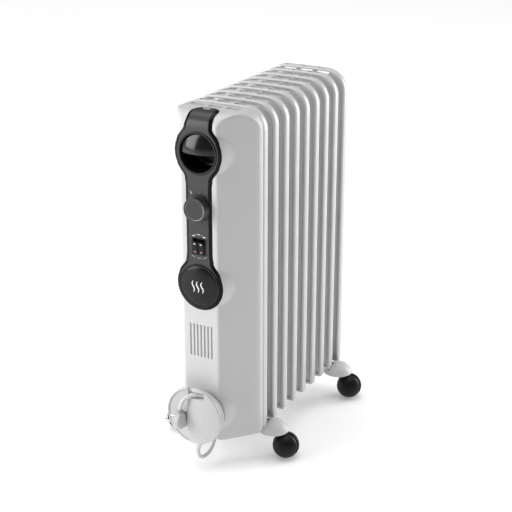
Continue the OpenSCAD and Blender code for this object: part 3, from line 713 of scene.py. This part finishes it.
def cut_openings(housing):
    """Front vents, top pockets and the holes for the grip, the knob's shaft, the switches and the cord, with
    grey sheets as painted shade at the pockets' floors.
    """
    cutters, slits, pocket_shade_sheets = [], [], []
    for i in range(VENTS):
        x = (i - (VENTS - 1) / 2) * VENT_PITCH
        cutters.append(prism(box_outline(x, VENT_Z, 3.2, 60, 1.5, 4), Y, FACE_Y - 6, FACE_Y + 1.5))
        slits.append(prism(box_outline(x, VENT_Z, 0.7, 58, 0.3, 4), Y, FACE_Y + 1.4, FACE_Y + 8))
    for x in POCKET_X:
        outline = box_outline(x, FACE_Y + POCKET_BACK, 26, 14, 2, 4)
        cutters.append(prism(outline, Z, HOUSE_TOP_Z - 1.5, HOUSE_TOP_Z + 6))
        # A thin grey sheet at each pocket's floor is painted shade
        pocket_shade_sheets.append(prism(outline, Z, HOUSE_TOP_Z - 1.6, HOUSE_TOP_Z - 1.1))
    holes = [
        circle_outline(0, GRIP_Z, 34.9, 96),
        circle_outline(0, KNOB_Z, SHAFT_HOLE_R, 32),
        box_outline(0, SWITCH_Z, 25.9, 27.9, 0.5, 2),
    ]
    cutters += [prism(outline, Y, FACE_Y - 6, FACE_Y + 12) for outline in holes]
    lead_hole = circle_outline(0, FACE_Y + LEAD_BACK, 7.2, 48)
    cutters.append(prism(lead_hole, Z, HOUSE_LOW_Z - 6, HOUSE_LOW_Z + 10))
    cut(housing, slits)
    cut(housing, cutters)
    finish_piece(join("top_pocket_painted_shade", pocket_shade_sheets), POCKET_PAINTED_SHADE)


def make_housing():
    points, faces, rim = housing_front()
    add_back_edge(points, faces, rim)
    housing = mesh_object("control_housing", points, faces)
    wall = housing.modifiers.new("wall", "SOLIDIFY")
    wall.thickness = HOUSE_WALL * MM
    wall.offset = -1
    bake(housing)
    cut_openings(housing)
    finish_piece(housing, slot="housing_plastic", replaces=("housing_shell",))


# ---- fascia ----

STRIP_HALF = 24.5
DISC_R = 44
FASCIA_T = 2.5
BORDER_W = 5.6
BORDER_LIP = 0.3
TONGUE = 45
BROW_START = HOUSE_TOP_Z - BROW_R
TONGUE_MIDDLE = BROW_START + BROW_R * pi / 2 + TONGUE - BROW_R - STRIP_HALF
FASCIA_FRONT_Y = FACE_Y - FASCIA_T
TOP_MARK_Y = FACE_Y + 33
# (start and turn in radians, radius)
TOP_MARKS = [(0.3, 5.6, 7.5), (0.0, 6.2832, 3.0)]


def fascia_half_width(s):
    """Half the fascia's width at a distance along it, with hollow curves where strip and discs meet."""
    half = STRIP_HALF
    for centre in (GRIP_Z, BADGE_Z):
        off = abs(s - centre)
        if off < DISC_R:
            half = smooth_max(half, sqrt(DISC_R ** 2 - off ** 2), 9 * smooth_step(12, 26, off))
        elif off < DISC_R + 14:
            half += 2 * (1 - (off - DISC_R) / 14) ** 2
    return half


def on_fascia(x, s, lift):
    """The place at a distance along the front, the brow and the top of the housing, and a height above it."""
    if s <= BROW_START:
        return x, FACE_Y - lift, s
    angle = (s - BROW_START) / BROW_R
    if angle < pi / 2:
        reach = BROW_R + lift
        return x, FACE_Y + BROW_R - reach * cos(angle), BROW_START + reach * sin(angle)
    return x, FACE_Y + s - BROW_START + BROW_R * (1 - pi / 2), HOUSE_TOP_Z + lift


def fascia_grid():
    """Rows of (x, distance along, distance from the edge) across the fascia, and columns in the border."""
    border = [BORDER_W * (1 - k / 6) for k in range(7)]
    inner = [k / 14 for k in range(14)]

    def across(half, steepness):
        edge_w = BORDER_W * steepness
        half_in = half - edge_w
        right = [(half_in * t, BORDER_W + (half_in * (1 - t)) / steepness) for t in inner]
        right += [(half - d * steepness, d) for d in border]
        return [(-x, d) for x, d in reversed(right[1:])] + right

    rows = []
    fan = 16
    for k in range(fan):
        a = pi / 2 * (1 - k / fan)
        rows.append([(x * cos(a), BADGE_Z - abs(x) * sin(a), d) for x, d in across(DISC_R, 1)])
    for s in spaced(BADGE_Z, TONGUE_MIDDLE, 2.2):
        slope = (fascia_half_width(s + 0.5) - fascia_half_width(s - 0.5)) if s > BADGE_Z + 1 else 0
        steepness = min(1.5, sqrt(1 + slope ** 2))
        rows.append([(x, s, d) for x, d in across(fascia_half_width(s), steepness)])
    for k in range(1, fan + 1):
        a = pi / 2 * k / fan
        row = across(STRIP_HALF, 1)
        rows.append([(x * cos(a), TONGUE_MIDDLE + abs(x) * sin(a), d) for x, d in row])
    return rows, len(border) - 1


def make_fascia():
    rows, border = fascia_grid()
    last = len(rows[0]) - 1
    tops, unders = [], []
    for row in rows:
        for x, s, d in row:
            lift = smooth_min(BORDER_LIP + (FASCIA_T - BORDER_LIP) * d / BORDER_W, FASCIA_T, 0.12)
            tops.append(on_fascia(x, s, lift))
            unders.append(on_fascia(x, s, -0.6))
    faces = grid_faces(len(rows), len(rows[0]))
    is_border = [k % last < border or k % last >= last - border for k in range(len(faces))]
    strip = thick_sheet("fascia_strip", tops, unders, [f for f, b in zip(faces, is_border) if not b])
    # The border is part of the same moulding as the strip; its own darker material is painted shade
    shaded_border = thick_sheet("fascia_border", tops, unders, [f for f, b in zip(faces, is_border) if b])
    holes = [
        circle_outline(0, GRIP_Z, 34.7, 96),
        circle_outline(0, KNOB_Z, SHAFT_HOLE_R, 32),
        box_outline(0, SWITCH_Z, 25.8, 27.8, 0.4, 2),
    ]
    cut(strip, [prism(outline, Y, FACE_Y - 9, FACE_Y + 6) for outline in holes])
    finish_piece(strip, slot="fascia_plastic", replaces=("fascia",))
    finish_piece(shaded_border, BORDER_PAINTED_SHADE)
    for i, (start, turn, r) in enumerate(TOP_MARKS):
        line = arc_line(0, TOP_MARK_Y, r, r, start, turn, 40)
        flat_ribbon(f"top_mark_{i + 1}", line, 1.5, HOUSE_TOP_Z + FASCIA_T)


# ---- grip and badge ----

GRIP_R = 32.3
GRIP_LOW = -3.0
GRIP_BALL = 62
GRIP_NOSE = -FASCIA_T - 7
BADGE_R = 38.0
BADGE_BALL = 130
BADGE_RISE = 6.6


def ball_drop(r, ball):
    """How far a ball's surface has fallen back at a distance r from its nearest point."""
    return ball - sqrt(ball ** 2 - r * r)


def make_grip_cup():
    lip = -FASCIA_T
    points = [(0, 36), (32.5, 36), (32.5, lip - 1.5), (36.3, lip - 1.5), (36.3, lip + 0.2), (34.3, lip + 0.2),
              (34.3, 38), (0, 38)]
    profile = rounded(points, [0, 7, 0.7, 1.2, 0, 0, 4, 0], 6)
    cup = lathe("grip_pocket", profile, (0, FACE_Y, GRIP_Z))
    finish_piece(cup, slot="black_plastic", replaces=("grip_cup",))


def make_grip_dome():
    """Part of a ball, over the upper part of the pocket."""
    outer, inner = [], []
    rows = [GRIP_LOW + (GRIP_R - GRIP_LOW) * sin(pi / 2 * k / 26) for k in range(27)]
    columns = 49
    for z in rows:
        half = sqrt(max(0, GRIP_R ** 2 - z * z))
        for j in range(columns):
            x = half * sin(pi / 2 * (-1 + 2 * j / (columns - 1)))
            ball = GRIP_NOSE + ball_drop(hypot(x, z), GRIP_BALL)
            front = ball + 1.6 * round_over(z - GRIP_LOW, 2.2)
            outer.append((x, FACE_Y + front, GRIP_Z + z))
            inner.append((x, FACE_Y + max(front + 2, ball + 4.6), GRIP_Z + z))
    dome = thick_sheet("grip_dome", outer, inner, grid_faces(len(rows), columns), angle=50)
    finish_piece(dome, slot="dome_gloss", replaces=("handle_dome",))


def ribbon(name, line, width, height, y_at, body="heater", paint=PRINT_WHITE):
    """A thin printed line of (x, z) points on a front surface, where y_at gives the surface's Y."""
    points = []
    for i, (x, z) in enumerate(line):
        a, b = Vector(line[max(0, i - 1)]), Vector(line[min(len(line) - 1, i + 1)])
        along = (b - a).normalized()
        wide = width(i / (len(line) - 1)) if callable(width) else width
        for side, lift in ((-1, 0), (-0.8, height), (0.8, height), (1, 0)):
            px, pz = x - along.y * side * wide / 2, z + along.x * side * wide / 2
            points.append((px, y_at(px, pz) - lift, pz))
    mark = mesh_object(name, points, grid_faces(len(line), 4), angle=60)
    return finish_piece(mark, paint, body=body)


def flat_ribbon(name, line, width, level):
    """A thin printed line on a level surface. line is (x, y) points."""
    mark = ribbon(name, line, width, 0.1, lambda x, z: 0)
    for vertex in mark.data.vertices:
        x, lift, y = vertex.co
        vertex.co = (x, y, level * MM - lift)
    return shade(mark, 60)


def dot(name, x, z, r, y, body, paint):
    mark = lathe(name, [(0, -0.12), (r * 0.8, -0.12), (r, 0)], (x, y, z), steps=20, angle=60)
    finish_piece(mark, paint, body=body)


def badge_surface(x, z):
    return FASCIA_FRONT_Y - BADGE_RISE + ball_drop(hypot(x, z - BADGE_Z), BADGE_BALL)


def wave_width(t):
    return 0.4 + 2.0 * sin(pi * t) ** 0.6


def make_badge():
    rim = [(0, 0.0), (0, -1.0), (0.5, -1.8), (1.6, -2.1), (3.0, -1.6), (3.6, -1.5)]
    profile = [(BADGE_R - inset, y) for inset, y in rim]
    front = [(r, -BADGE_RISE + ball_drop(r, BADGE_BALL)) for r in spaced(0, BADGE_R - 4.4, 2)]
    profile += list(reversed(front))
    badge = lathe("badge_cover", profile, (0, FASCIA_FRONT_Y, BADGE_Z), angle=40)
    finish_piece(badge, slot="badge_gloss", replaces=("badge_disc",))
    for i, x in enumerate((-8.5, 0, 8.5)):
        line = [(x + 2.2 * sin(pi * k / 16), BADGE_Z - 10 + 20 * k / 32) for k in range(33)]
        ribbon(f"heat_wave_{i + 1}", line, wave_width, 0.15, badge_surface)


# ---- thermostat knob ----

KNOB_FRONT_Y = edge("knob", LOW, Y)
KNOB_DEEP = size("knob", Y)
KNOB_GRIP_R = 20.9
KNOB_GROOVES = 36
KNOB_FACE_IN = 0.5


def make_knob():
    foot = KNOB_DEEP - 2.6
    points = [(0, KNOB_FACE_IN), (16.8, KNOB_FACE_IN), (18.2, 0), (21.3, 0), (21.5, foot), (22.4, foot),
              (22.4, KNOB_DEEP - 0.1), (19.4, KNOB_DEEP - 0.1), (19.2, 3.4), (6, 3.4), (6, KNOB_DEEP - 1.6),
              (3, KNOB_DEEP - 1.6), (3, 4.2), (0, 4.2)]
    profile = rounded(points, [0, 0.4, 0.4, 1.1, 0.5, 0.6, 0.3, 0, 1, 0, 0, 0, 0, 0], 5)
    knob = lathe("knob_cap", profile, (0, KNOB_FRONT_Y, KNOB_Z), steps=144)
    for vertex in knob.data.vertices:
        x, z = vertex.co.x / MM, vertex.co.z / MM - KNOB_Z
        h = vertex.co.y / MM - KNOB_FRONT_Y
        if hypot(x, z) > KNOB_GRIP_R and 1.4 < h < KNOB_DEEP - 3:
            k = 1 - 0.012 * (0.5 + 0.5 * cos(KNOB_GROOVES * atan2(z, x)))
            vertex.co.x *= k
            vertex.co.z = (KNOB_Z + z * k) * MM
    finish_piece(knob, body="knob_turn", slot="knob_plastic", replaces=("knob",))
    make_knob_marks()


def make_knob_marks():
    """Marks on the knob's face turn with it. The two above it are on the fascia."""
    level = KNOB_FRONT_Y + KNOB_FACE_IN
    line = arc_line(0, KNOB_Z, 17.2, 17.2, radians(35), radians(-250), 72)
    ribbon("knob_scale", line, lambda t: 0.95 - 0.55 * t, 0.12, lambda x, z: level, body="knob_turn")
    for i in range(6):
        a = radians(140 - 14 * i)
        x, z = 17.0 * cos(a), KNOB_Z + 17.0 * sin(a)
        dot(f"knob_dot_{i + 1}", x, z, 0.5, level, "knob_turn", PRINT_GREY)
    near = 26.2
    for i, (degrees, far, paint) in enumerate(((118, 31.5, PRINT_WHITE), (84, 27.6, PRINT_GREY))):
        a = radians(degrees)
        line = [(r * cos(a), KNOB_Z + r * sin(a)) for r in (near, far)]
        ribbon(f"knob_mark_{i + 1}", line, 1.1, 0.1, lambda x, z: FASCIA_FRONT_Y, paint=paint)


# ---- switches ----

ROCKER_X = 5.9
ROCKER_HALF_W = 5.0
ROCKER_TILT = radians(9)
ROCKER_PIVOT_Y = FACE_Y + 2


def make_bezel():
    lip = FASCIA_FRONT_Y
    outline = box_outline(0, SWITCH_Z, 27.8, 29.8, 1.2)
    rim = extruded("switch_bezel", outline, Y, lip - 0.7, lip + 0.2, bevel=0.3)
    tub = prism(box_outline(0, SWITCH_Z, 25.5, 27.5, 0.5, 2), Y, lip + 0.1, lip + 20)
    bezel = join("switch_bezel", [rim, tub])
    wells = [box_outline(x, SWITCH_Z, 11.0, 26.4, 0.6, 3) for x in (-ROCKER_X, ROCKER_X)]
    cut(bezel, [prism(well, Y, lip - 4, lip + 14) for well in wells])
    finish_piece(bezel, slot="black_plastic", replaces=("switch_frame",))


def on_rocker(u, v):
    """(y, z) of a place on the rocker's side, u behind its pivot and v above it, with the rocker tilted."""
    y = ROCKER_PIVOT_Y + u * cos(ROCKER_TILT) - v * sin(ROCKER_TILT)
    return y, SWITCH_Z + u * sin(ROCKER_TILT) + v * cos(ROCKER_TILT)


def make_rocker(hand, x):
    """A key with a hollow face, a white mark on its upper end and a red lens on its lower end."""
    outline = [(-9.4, 10.9), (-7.2, 3.5), (-7.2, -3.5), (-9.4, -10.9), (-2, -9.8), (2.9, -3.9), (2.9, 3.9),
               (-2, 9.8)]
    outline = rounded(outline, [1.1, 6, 6, 1.1, 0.5, 0.5, 0.5, 0.5], 5, closed=True)
    turned = [on_rocker(u, v) for u, v in outline]
    rocker = extruded(f"rocker_key_{hand}", turned, X, x - ROCKER_HALF_W, x + ROCKER_HALF_W, bevel=0.45)
    body = f"rocker_{hand}_body"
    finish_piece(rocker, body=body, slot="rocker_plastic", replaces=(f"rocker_{hand}",))
    marks = (("mark", 5.0, 7.6, 1.5, PRINT_WHITE), ("lens", -9.6, -6.6, 2.2, RED_LENS))
    for name, low, high, half, paint in marks:
        points = []
        for v in spaced(low, high, 0.6):
            for side, lift in ((-1, 0.02), (-0.85, 0.16), (0.85, 0.16), (1, 0.02)):
                u = -7.2 - 2.2 * max(0, (abs(v) - 3.5) / 7.4) - lift
                points.append((x + side * half, *on_rocker(u, v)))
        mark = mesh_object(f"rocker_{name}_{hand}", points, grid_faces(len(points) // 4, 4), angle=60)
        finish_piece(mark, paint, body=body)


def make_switch_marks():
    """Small marks above and below the switches, with no lettering."""
    def print_line(name, line, width, paint=PRINT_WHITE):
        ribbon(name, line, width, 0.1, lambda x, z: FASCIA_FRONT_Y, paint=paint)

    for i, (x, z, half) in enumerate(((-10.2, 17.2, 2.6), (0, 20.6, 2.0), (10.2, 17.2, 2.6))):
        line = [(x - half + 2 * half * k / 4, SWITCH_Z + z) for k in range(5)]
        print_line(f"switch_mark_{i + 1}", line, 1.5)
    for i, (start, turn) in enumerate(((200, 40), (255, 30), (300, 40))):
        line = arc_line(0, SWITCH_Z - 14.5, 15.5, 6.0, radians(start), radians(turn), 12)
        print_line(f"switch_arc_{i + 1}", line, 0.8, PRINT_GREY)
    for i, start in enumerate((62, 98)):
        line = arc_line(0, SWITCH_Z + 2, 19, 19, radians(start), radians(20), 8)
        print_line(f"switch_link_{i + 1}", line, 0.6, PRINT_GREY)


# ---- reel and plug ----

COVER_RISE = 6
BULGE = 8
BULGE_X = -8.6
COVER_FRONT_Y = REEL_Y - COVER_RISE - BULGE
PIN_R = 2.4


def cover_height(x, r):
    """How far the reel's cover stands out in front of the drum."""
    dome = COVER_RISE + BULGE * (1 - (r / (REEL_R - 3)) ** 2)
    dome -= 0.35 * smooth_step(25.4, 26, r) * (1 - smooth_step(26.6, 27.2, r))
    ledge = 4.0 + 1.9 * smooth_step(REEL_R - 4, REEL_R - 2.4, r)
    step = smooth_step(-BULGE_X - 0.5, -BULGE_X + 1.3, -x)
    return max(0.8, dome + (ledge - dome) * step - 1.4 * round_over(REEL_R - r, 1.6))


def make_cover(steps=288):
    """Domed cover with a lower ledge at its left, and a notch for the cord."""
    radii = spaced(0, REEL_R - 5, 0.8)[1:] + [REEL_R - d for d in (4.2, 3.6, 3.1, 2.6, 2.0, 1.2, 0.6, 0.2, 0)]
    points = [(0, REEL_Y, REEL_Z), (0, COVER_FRONT_Y, REEL_Z)]
    for r in radii:
        points += [(x, REEL_Y - cover_height(x, r), REEL_Z + z) for x, z in circle_outline(0, 0, r, steps)]
    points += [(x, REEL_Y, z) for x, z in circle_outline(0, REEL_Z, REEL_R - 0.1, steps)]
    faces = grid_faces(len(radii) + 1, steps, wrap=True, first=2)
    last = 2 + len(radii) * steps
    for k in range(steps):
        n = (k + 1) % steps
        faces.append((1, 2 + k, 2 + n))
        faces.append((0, last + n, last + k))
    cover = mesh_object("reel_cover", points, faces, angle=40)
    notch = [(-11, 36), (22, 36), (22, 47.5), (-2.5, 47.5), (-2.5, 60), (-11, 60)]
    notch = rounded([(x, REEL_Z + z) for x, z in notch], [3, 4, 4, 1.5, 0, 0], 5, closed=True)
    return cut(cover, [prism(notch, Y, REEL_Y - 20, REEL_Y + 6)])


def make_plug_arms():
    """Two arms round the plug, one above and one below it."""
    arms = []
    outer_r = PLUG_R + 2.5
    start = acos(min(1, (COVER_FRONT_Y - PLUG_Y) / outer_r))
    turn = acos(1 - 0.8 / outer_r) - start
    for side in (-1, 1):
        near = arc_line(PLUG_Y, PLUG_Z, PLUG_R + 0.35, side * (PLUG_R + 0.35), start, turn, 12)
        far = arc_line(PLUG_Y, PLUG_Z, outer_r, side * outer_r, start, turn, 12)
        arms.append(extruded("arm", near + far[::-1], X, PLUG_X - 5, PLUG_X + 5, bevel=0.4))
    return arms


def make_reel():
    cover = join("reel_cover", [make_cover()] + make_plug_arms(), angle=40)
    finish_piece(cover, slot="reel_plastic", replaces=("reel_flange",))


def make_drum():
    deep = size("reel_drum", Y)
    points = [(0, 0), (29, 0), (29, -deep), (26.5, -deep), (26.5, -2.5), (0, -2.5)]
    drum = lathe("reel_core", rounded(points, [0, 0, 0.4, 0.4, 1, 0], 4), (0, REEL_Y + deep, REEL_Z))
    finish_piece(drum, slot="housing_plastic", replaces=("reel_drum",))


def make_plug():
    """Round body, ribbed neck and two sleeved pins."""
    half = size("plug_body", X) / 2
    points = [(0, -half), (PLUG_R - 4.8, -half), (PLUG_R - 3.4, -half + 1.2), (PLUG_R, -half + 1.2),
              (PLUG_R, half - 3), (PLUG_R - 3.5, half), (0, half)]
    profile = rounded(points, [0, 0.8, 0.8, 1.4, 2.4, 2.4, 0], 5)
    disc = lathe("disc", profile, (PLUG_X, PLUG_Y, PLUG_Z), axis=X)
    tip = edge("plug_body", HIGH, Z) - PLUG_Z
    neck = [(0, 6), (7.4, 6), (7.1, 13)]
    for i in range(5):
        z, r = 15.2 + 1.35 * i, 5.9 - 0.2 * i
        neck += [(r, z), (r, z + 0.45), (r - 1, z + 0.6), (r - 1, z + 1.2)]
    neck += [(4.3, tip - 0.4), (3.7, tip), (0, tip)]
    neck = lathe("neck", neck, (PLUG_X, PLUG_Y, PLUG_Z), axis=Z, steps=48, angle=50)
    plug = join("plug_moulding", [disc, neck])
    finish_piece(plug, slot="plug_plastic", replaces=("plug_body",))
    face = edge("plug_pins", HIGH, X)
    reach = edge("plug_pins", LOW, X) - face
    pins, sleeves = [], []
    for y in (edge("plug_pins", LOW, Y) + PIN_R, edge("plug_pins", HIGH, Y) - PIN_R):
        profile = rounded([(0, reach), (PIN_R, reach), (PIN_R, 0), (0, 0)], [0, 2.0, 0, 0], 6)
        pins.append(lathe("pin", profile, (face, y, PLUG_Z), axis=X, steps=40))
        profile = [(PIN_R + 0.01, -8.6), (PIN_R + 0.1, -8.4), (PIN_R + 0.1, 0)]
        sleeves.append(lathe("sleeve", profile, (face, y, PLUG_Z), axis=X, steps=40))
    metal = join("plug_contact_pins", pins)
    finish_piece(metal, slot="plug_nickel", replaces=("plug_pins",))
    coats = finish_piece(join("plug_pin_sleeves", sleeves), PIN_SLEEVE)
    return [plug, metal, coats]


def make_gland():
    """Ribbed strain relief below the housing, bent the way the cord leaves."""
    y0, z0 = FACE_Y + LEAD_BACK, HOUSE_LOW_Z
    flat = rounded([(0, 2.5), (6.9, 2.5), (6.9, 0), (9, 0), (9, -3), (0, -3)], [0, 0.5, 0, 0.8, 1.2, 0], 4)
    base = lathe("base", flat, (0, y0, z0), axis=Z, steps=64)
    profile = [(0, 0), (6.2, 0)]
    for i in range(6):
        h, r = 3.0 + 2.5 * i, 6.0 - 0.25 * i
        profile += [(r, h - 1.2), (r, h - 0.2), (r - 0.9, h), (r - 0.9, h + 1.0)]
    profile += [(4.5, 17.6), (3.9, 18.2), (0, 18.2)]
    sleeve = lathe("sleeve", profile, (0, 0, 0), axis=Z, steps=48, angle=50)
    turn = Matrix.Rotation(radians(165), 4, "X")
    sleeve.data.transform(Matrix.Translation(Vector((0, y0, z0 - 1.6)) * MM) @ turn)
    gland = join("cord_strain_relief", [base, sleeve], angle=50)
    finish_piece(gland, slot="cord_pvc", replaces=("cord_gland",))


# ---- feet ----

CAP_X = 86
CAP_R = 29
CAP_LOW = 48.5
CAP_WALL = 2
BAR_HALF_W = 11.3
BAR_LOW_Z = 52.7
BALL_GAP_HALF = 3
# (radius, distance from the middle between the halves)
BALL_INSIDE = [(0, 18.3), (2.56, 18.3), (2.56, 5.0), (6.5, 5.0), (7.5, 3.1), (23.4, 3.1)]
# (depth, angle and width in radians)
BALL_GROOVES = [(0.45, 0.42, 0.022), (0.35, 1.12, 0.02)]


def cap_profile(high, wall):
    """A cap's outer or, with a wall, inner line, from its foot to its top."""
    ball = (CAP_R ** 2 + high ** 2) / (2 * high)
    line = []
    for k in range(29):
        h = (high - wall) * sin(pi / 2 * k / 28)
        r = sqrt(max(0, (ball - wall) ** 2 - (h + ball - high) ** 2))
        line.append((r, h))
    return line


def beside_fins(side, y0, half):
    """A rectangle, seen from above, from under the fins to just outside them."""
    left, right = sorted((side * 30, side * (FIN_HALF_W + 0.3)))
    return [(left, y0 - half), (right, y0 - half), (right, y0 + half), (left, y0 + half)]


def make_cap(corner):
    """Thin dome over the end of the foot bar, cut away round the fins and the bar."""
    node_name = "foot_cap_" + corner
    side = 1 if corner.endswith("right") else -1
    y0 = middle(node_name, Y)
    high = edge(node_name, HIGH, Z) - CAP_LOW
    outer = [(max(0, r - 0.8 * round_over(h, 1.2)), h) for r, h in cap_profile(high, 0)]
    inner = cap_profile(high, CAP_WALL)
    place = (side * CAP_X, y0, CAP_LOW)
    cap = lathe("hood_" + corner, inner[::-1] + outer, place, axis=Z, angle=45)
    cut(cap, [prism(beside_fins(side, y0, 50), Z, HOUSE_LOW_Z - 0.3, HOUSE_LOW_Z + 40)], angle=45)
    cut(cap, [prism(beside_fins(side, y0, BAR_HALF_W), Z, BAR_LOW_Z, HOUSE_LOW_Z + 5)], angle=45)
    finish_piece(cap, slot="cap_plastic", replaces=(node_name,))


def make_balls(corner):
    """Two half balls on the axle, with two fine grooves in each."""
    node_name = "ball_wheels_" + corner
    r = size(node_name, Y) / 2
    foot_r = sqrt(r ** 2 - BALL_GAP_HALF ** 2)
    centre = (middle(node_name, X), middle(node_name, Y), edge(node_name, LOW, Z) + foot_r)
    outside = []
    start = asin(3.5 / r)
    for k in range(29):
        a = start + (pi / 2 - start) * k / 28
        groove = sum(deep * exp(-((a - at) / wide) ** 2) for deep, at, wide in BALL_GROOVES)
        outside.append(((r - groove) * cos(a), (r - groove) * sin(a)))
    outside[-1] = (0, r)
    halves = []
    for face in (-1, 1):
        profile = [(a, face * b) for a, b in BALL_INSIDE + outside]
        halves.append(lathe("half", profile, centre, steps=72, angle=45))
    balls = join("caster_balls_" + corner, halves, angle=45)
    finish_piece(balls, body="balls_" + corner, slot="ball_plastic", replaces=(node_name,))


# ---- studio ----

AMBIENT = 0.19
BACKDROP = 1.0
SUN_TOWARD = (-0.1, 0.05, 1.0)
SUN_STRENGTH = 1.95
SUN_SOFTNESS = 60
FLOOR_HALF = 20000
FLOOR_Z = -0.2
BOXES = {
    "left_box": dict(place=(-2.3, -2.07, 1.5), target=(0, -0.1, 0.35), size=(2.0, 2.4), power=96),
    "right_box": dict(place=(1.8, 2.4, 1.0), target=(0, 0, 0.35), size=(1.4, 2.0), power=56),
}


def area_light(name, place, target, size, power):
    data = bpy.data.lights.new(name, "AREA")
    data.shape = "RECTANGLE"
    data.size, data.size_y = size
    data.energy = power
    light = new_object(name, data)
    light.location = place
    light.rotation_euler = (Vector(target) - Vector(place)).to_track_quat("-Z", "Y").to_euler()


def wide_sun(name, toward, strength, softness):
    """Even light from a direction, with soft shadows."""
    data = bpy.data.lights.new(name, "SUN")
    data.energy = strength
    data.angle = radians(softness)
    light = new_object(name, data)
    light.location = Vector(toward) * 3
    light.rotation_euler = Vector(toward).to_track_quat("Z", "Y").to_euler()


def make_world():
    """Soft light from all sides, in front of a white backdrop."""
    world = bpy.data.worlds.new("studio")
    world.use_nodes = True
    tree = world.node_tree
    background = tree.nodes["Background"]
    background.inputs["Color"].default_value = (1, 1, 1, 1)
    path = node(tree, "ShaderNodeLightPath")
    level = node(tree, "ShaderNodeMapRange")
    level.inputs["To Min"].default_value = AMBIENT
    level.inputs["To Max"].default_value = BACKDROP
    tree.links.new(path.outputs["Is Camera Ray"], level.inputs["Value"])
    tree.links.new(level.outputs["Result"], background.inputs["Strength"])
    bpy.context.scene.world = world


def make_studio():
    corners = [(x * FLOOR_HALF, y * FLOOR_HALF, FLOOR_Z) for x, y in ((-1, -1), (1, -1), (1, 1), (-1, 1))]
    floor = mesh_object("floor", corners, [(0, 1, 2, 3)])
    floor.data.materials.append(PALE_FLOOR)
    make_world()
    wide_sun("top_light", SUN_TOWARD, SUN_STRENGTH, SUN_SOFTNESS)
    for name, light in BOXES.items():
        area_light(name, **light)
    bpy.context.scene.view_settings.view_transform = "Standard"


# ---- build ----

make_camera()
cord, cord_route = make_cord()
dress_cad_nodes()
plug_pieces = make_plug()
make_fins()
make_housing()
make_fascia()
make_grip_cup()
make_grip_dome()
make_badge()
make_knob()
make_bezel()
make_rocker("left", -ROCKER_X)
make_rocker("right", ROCKER_X)
make_switch_marks()
make_drum()
make_reel()
make_gland()
for corner in CORNERS:
    make_cap(corner)
    make_balls(corner)
make_studio()
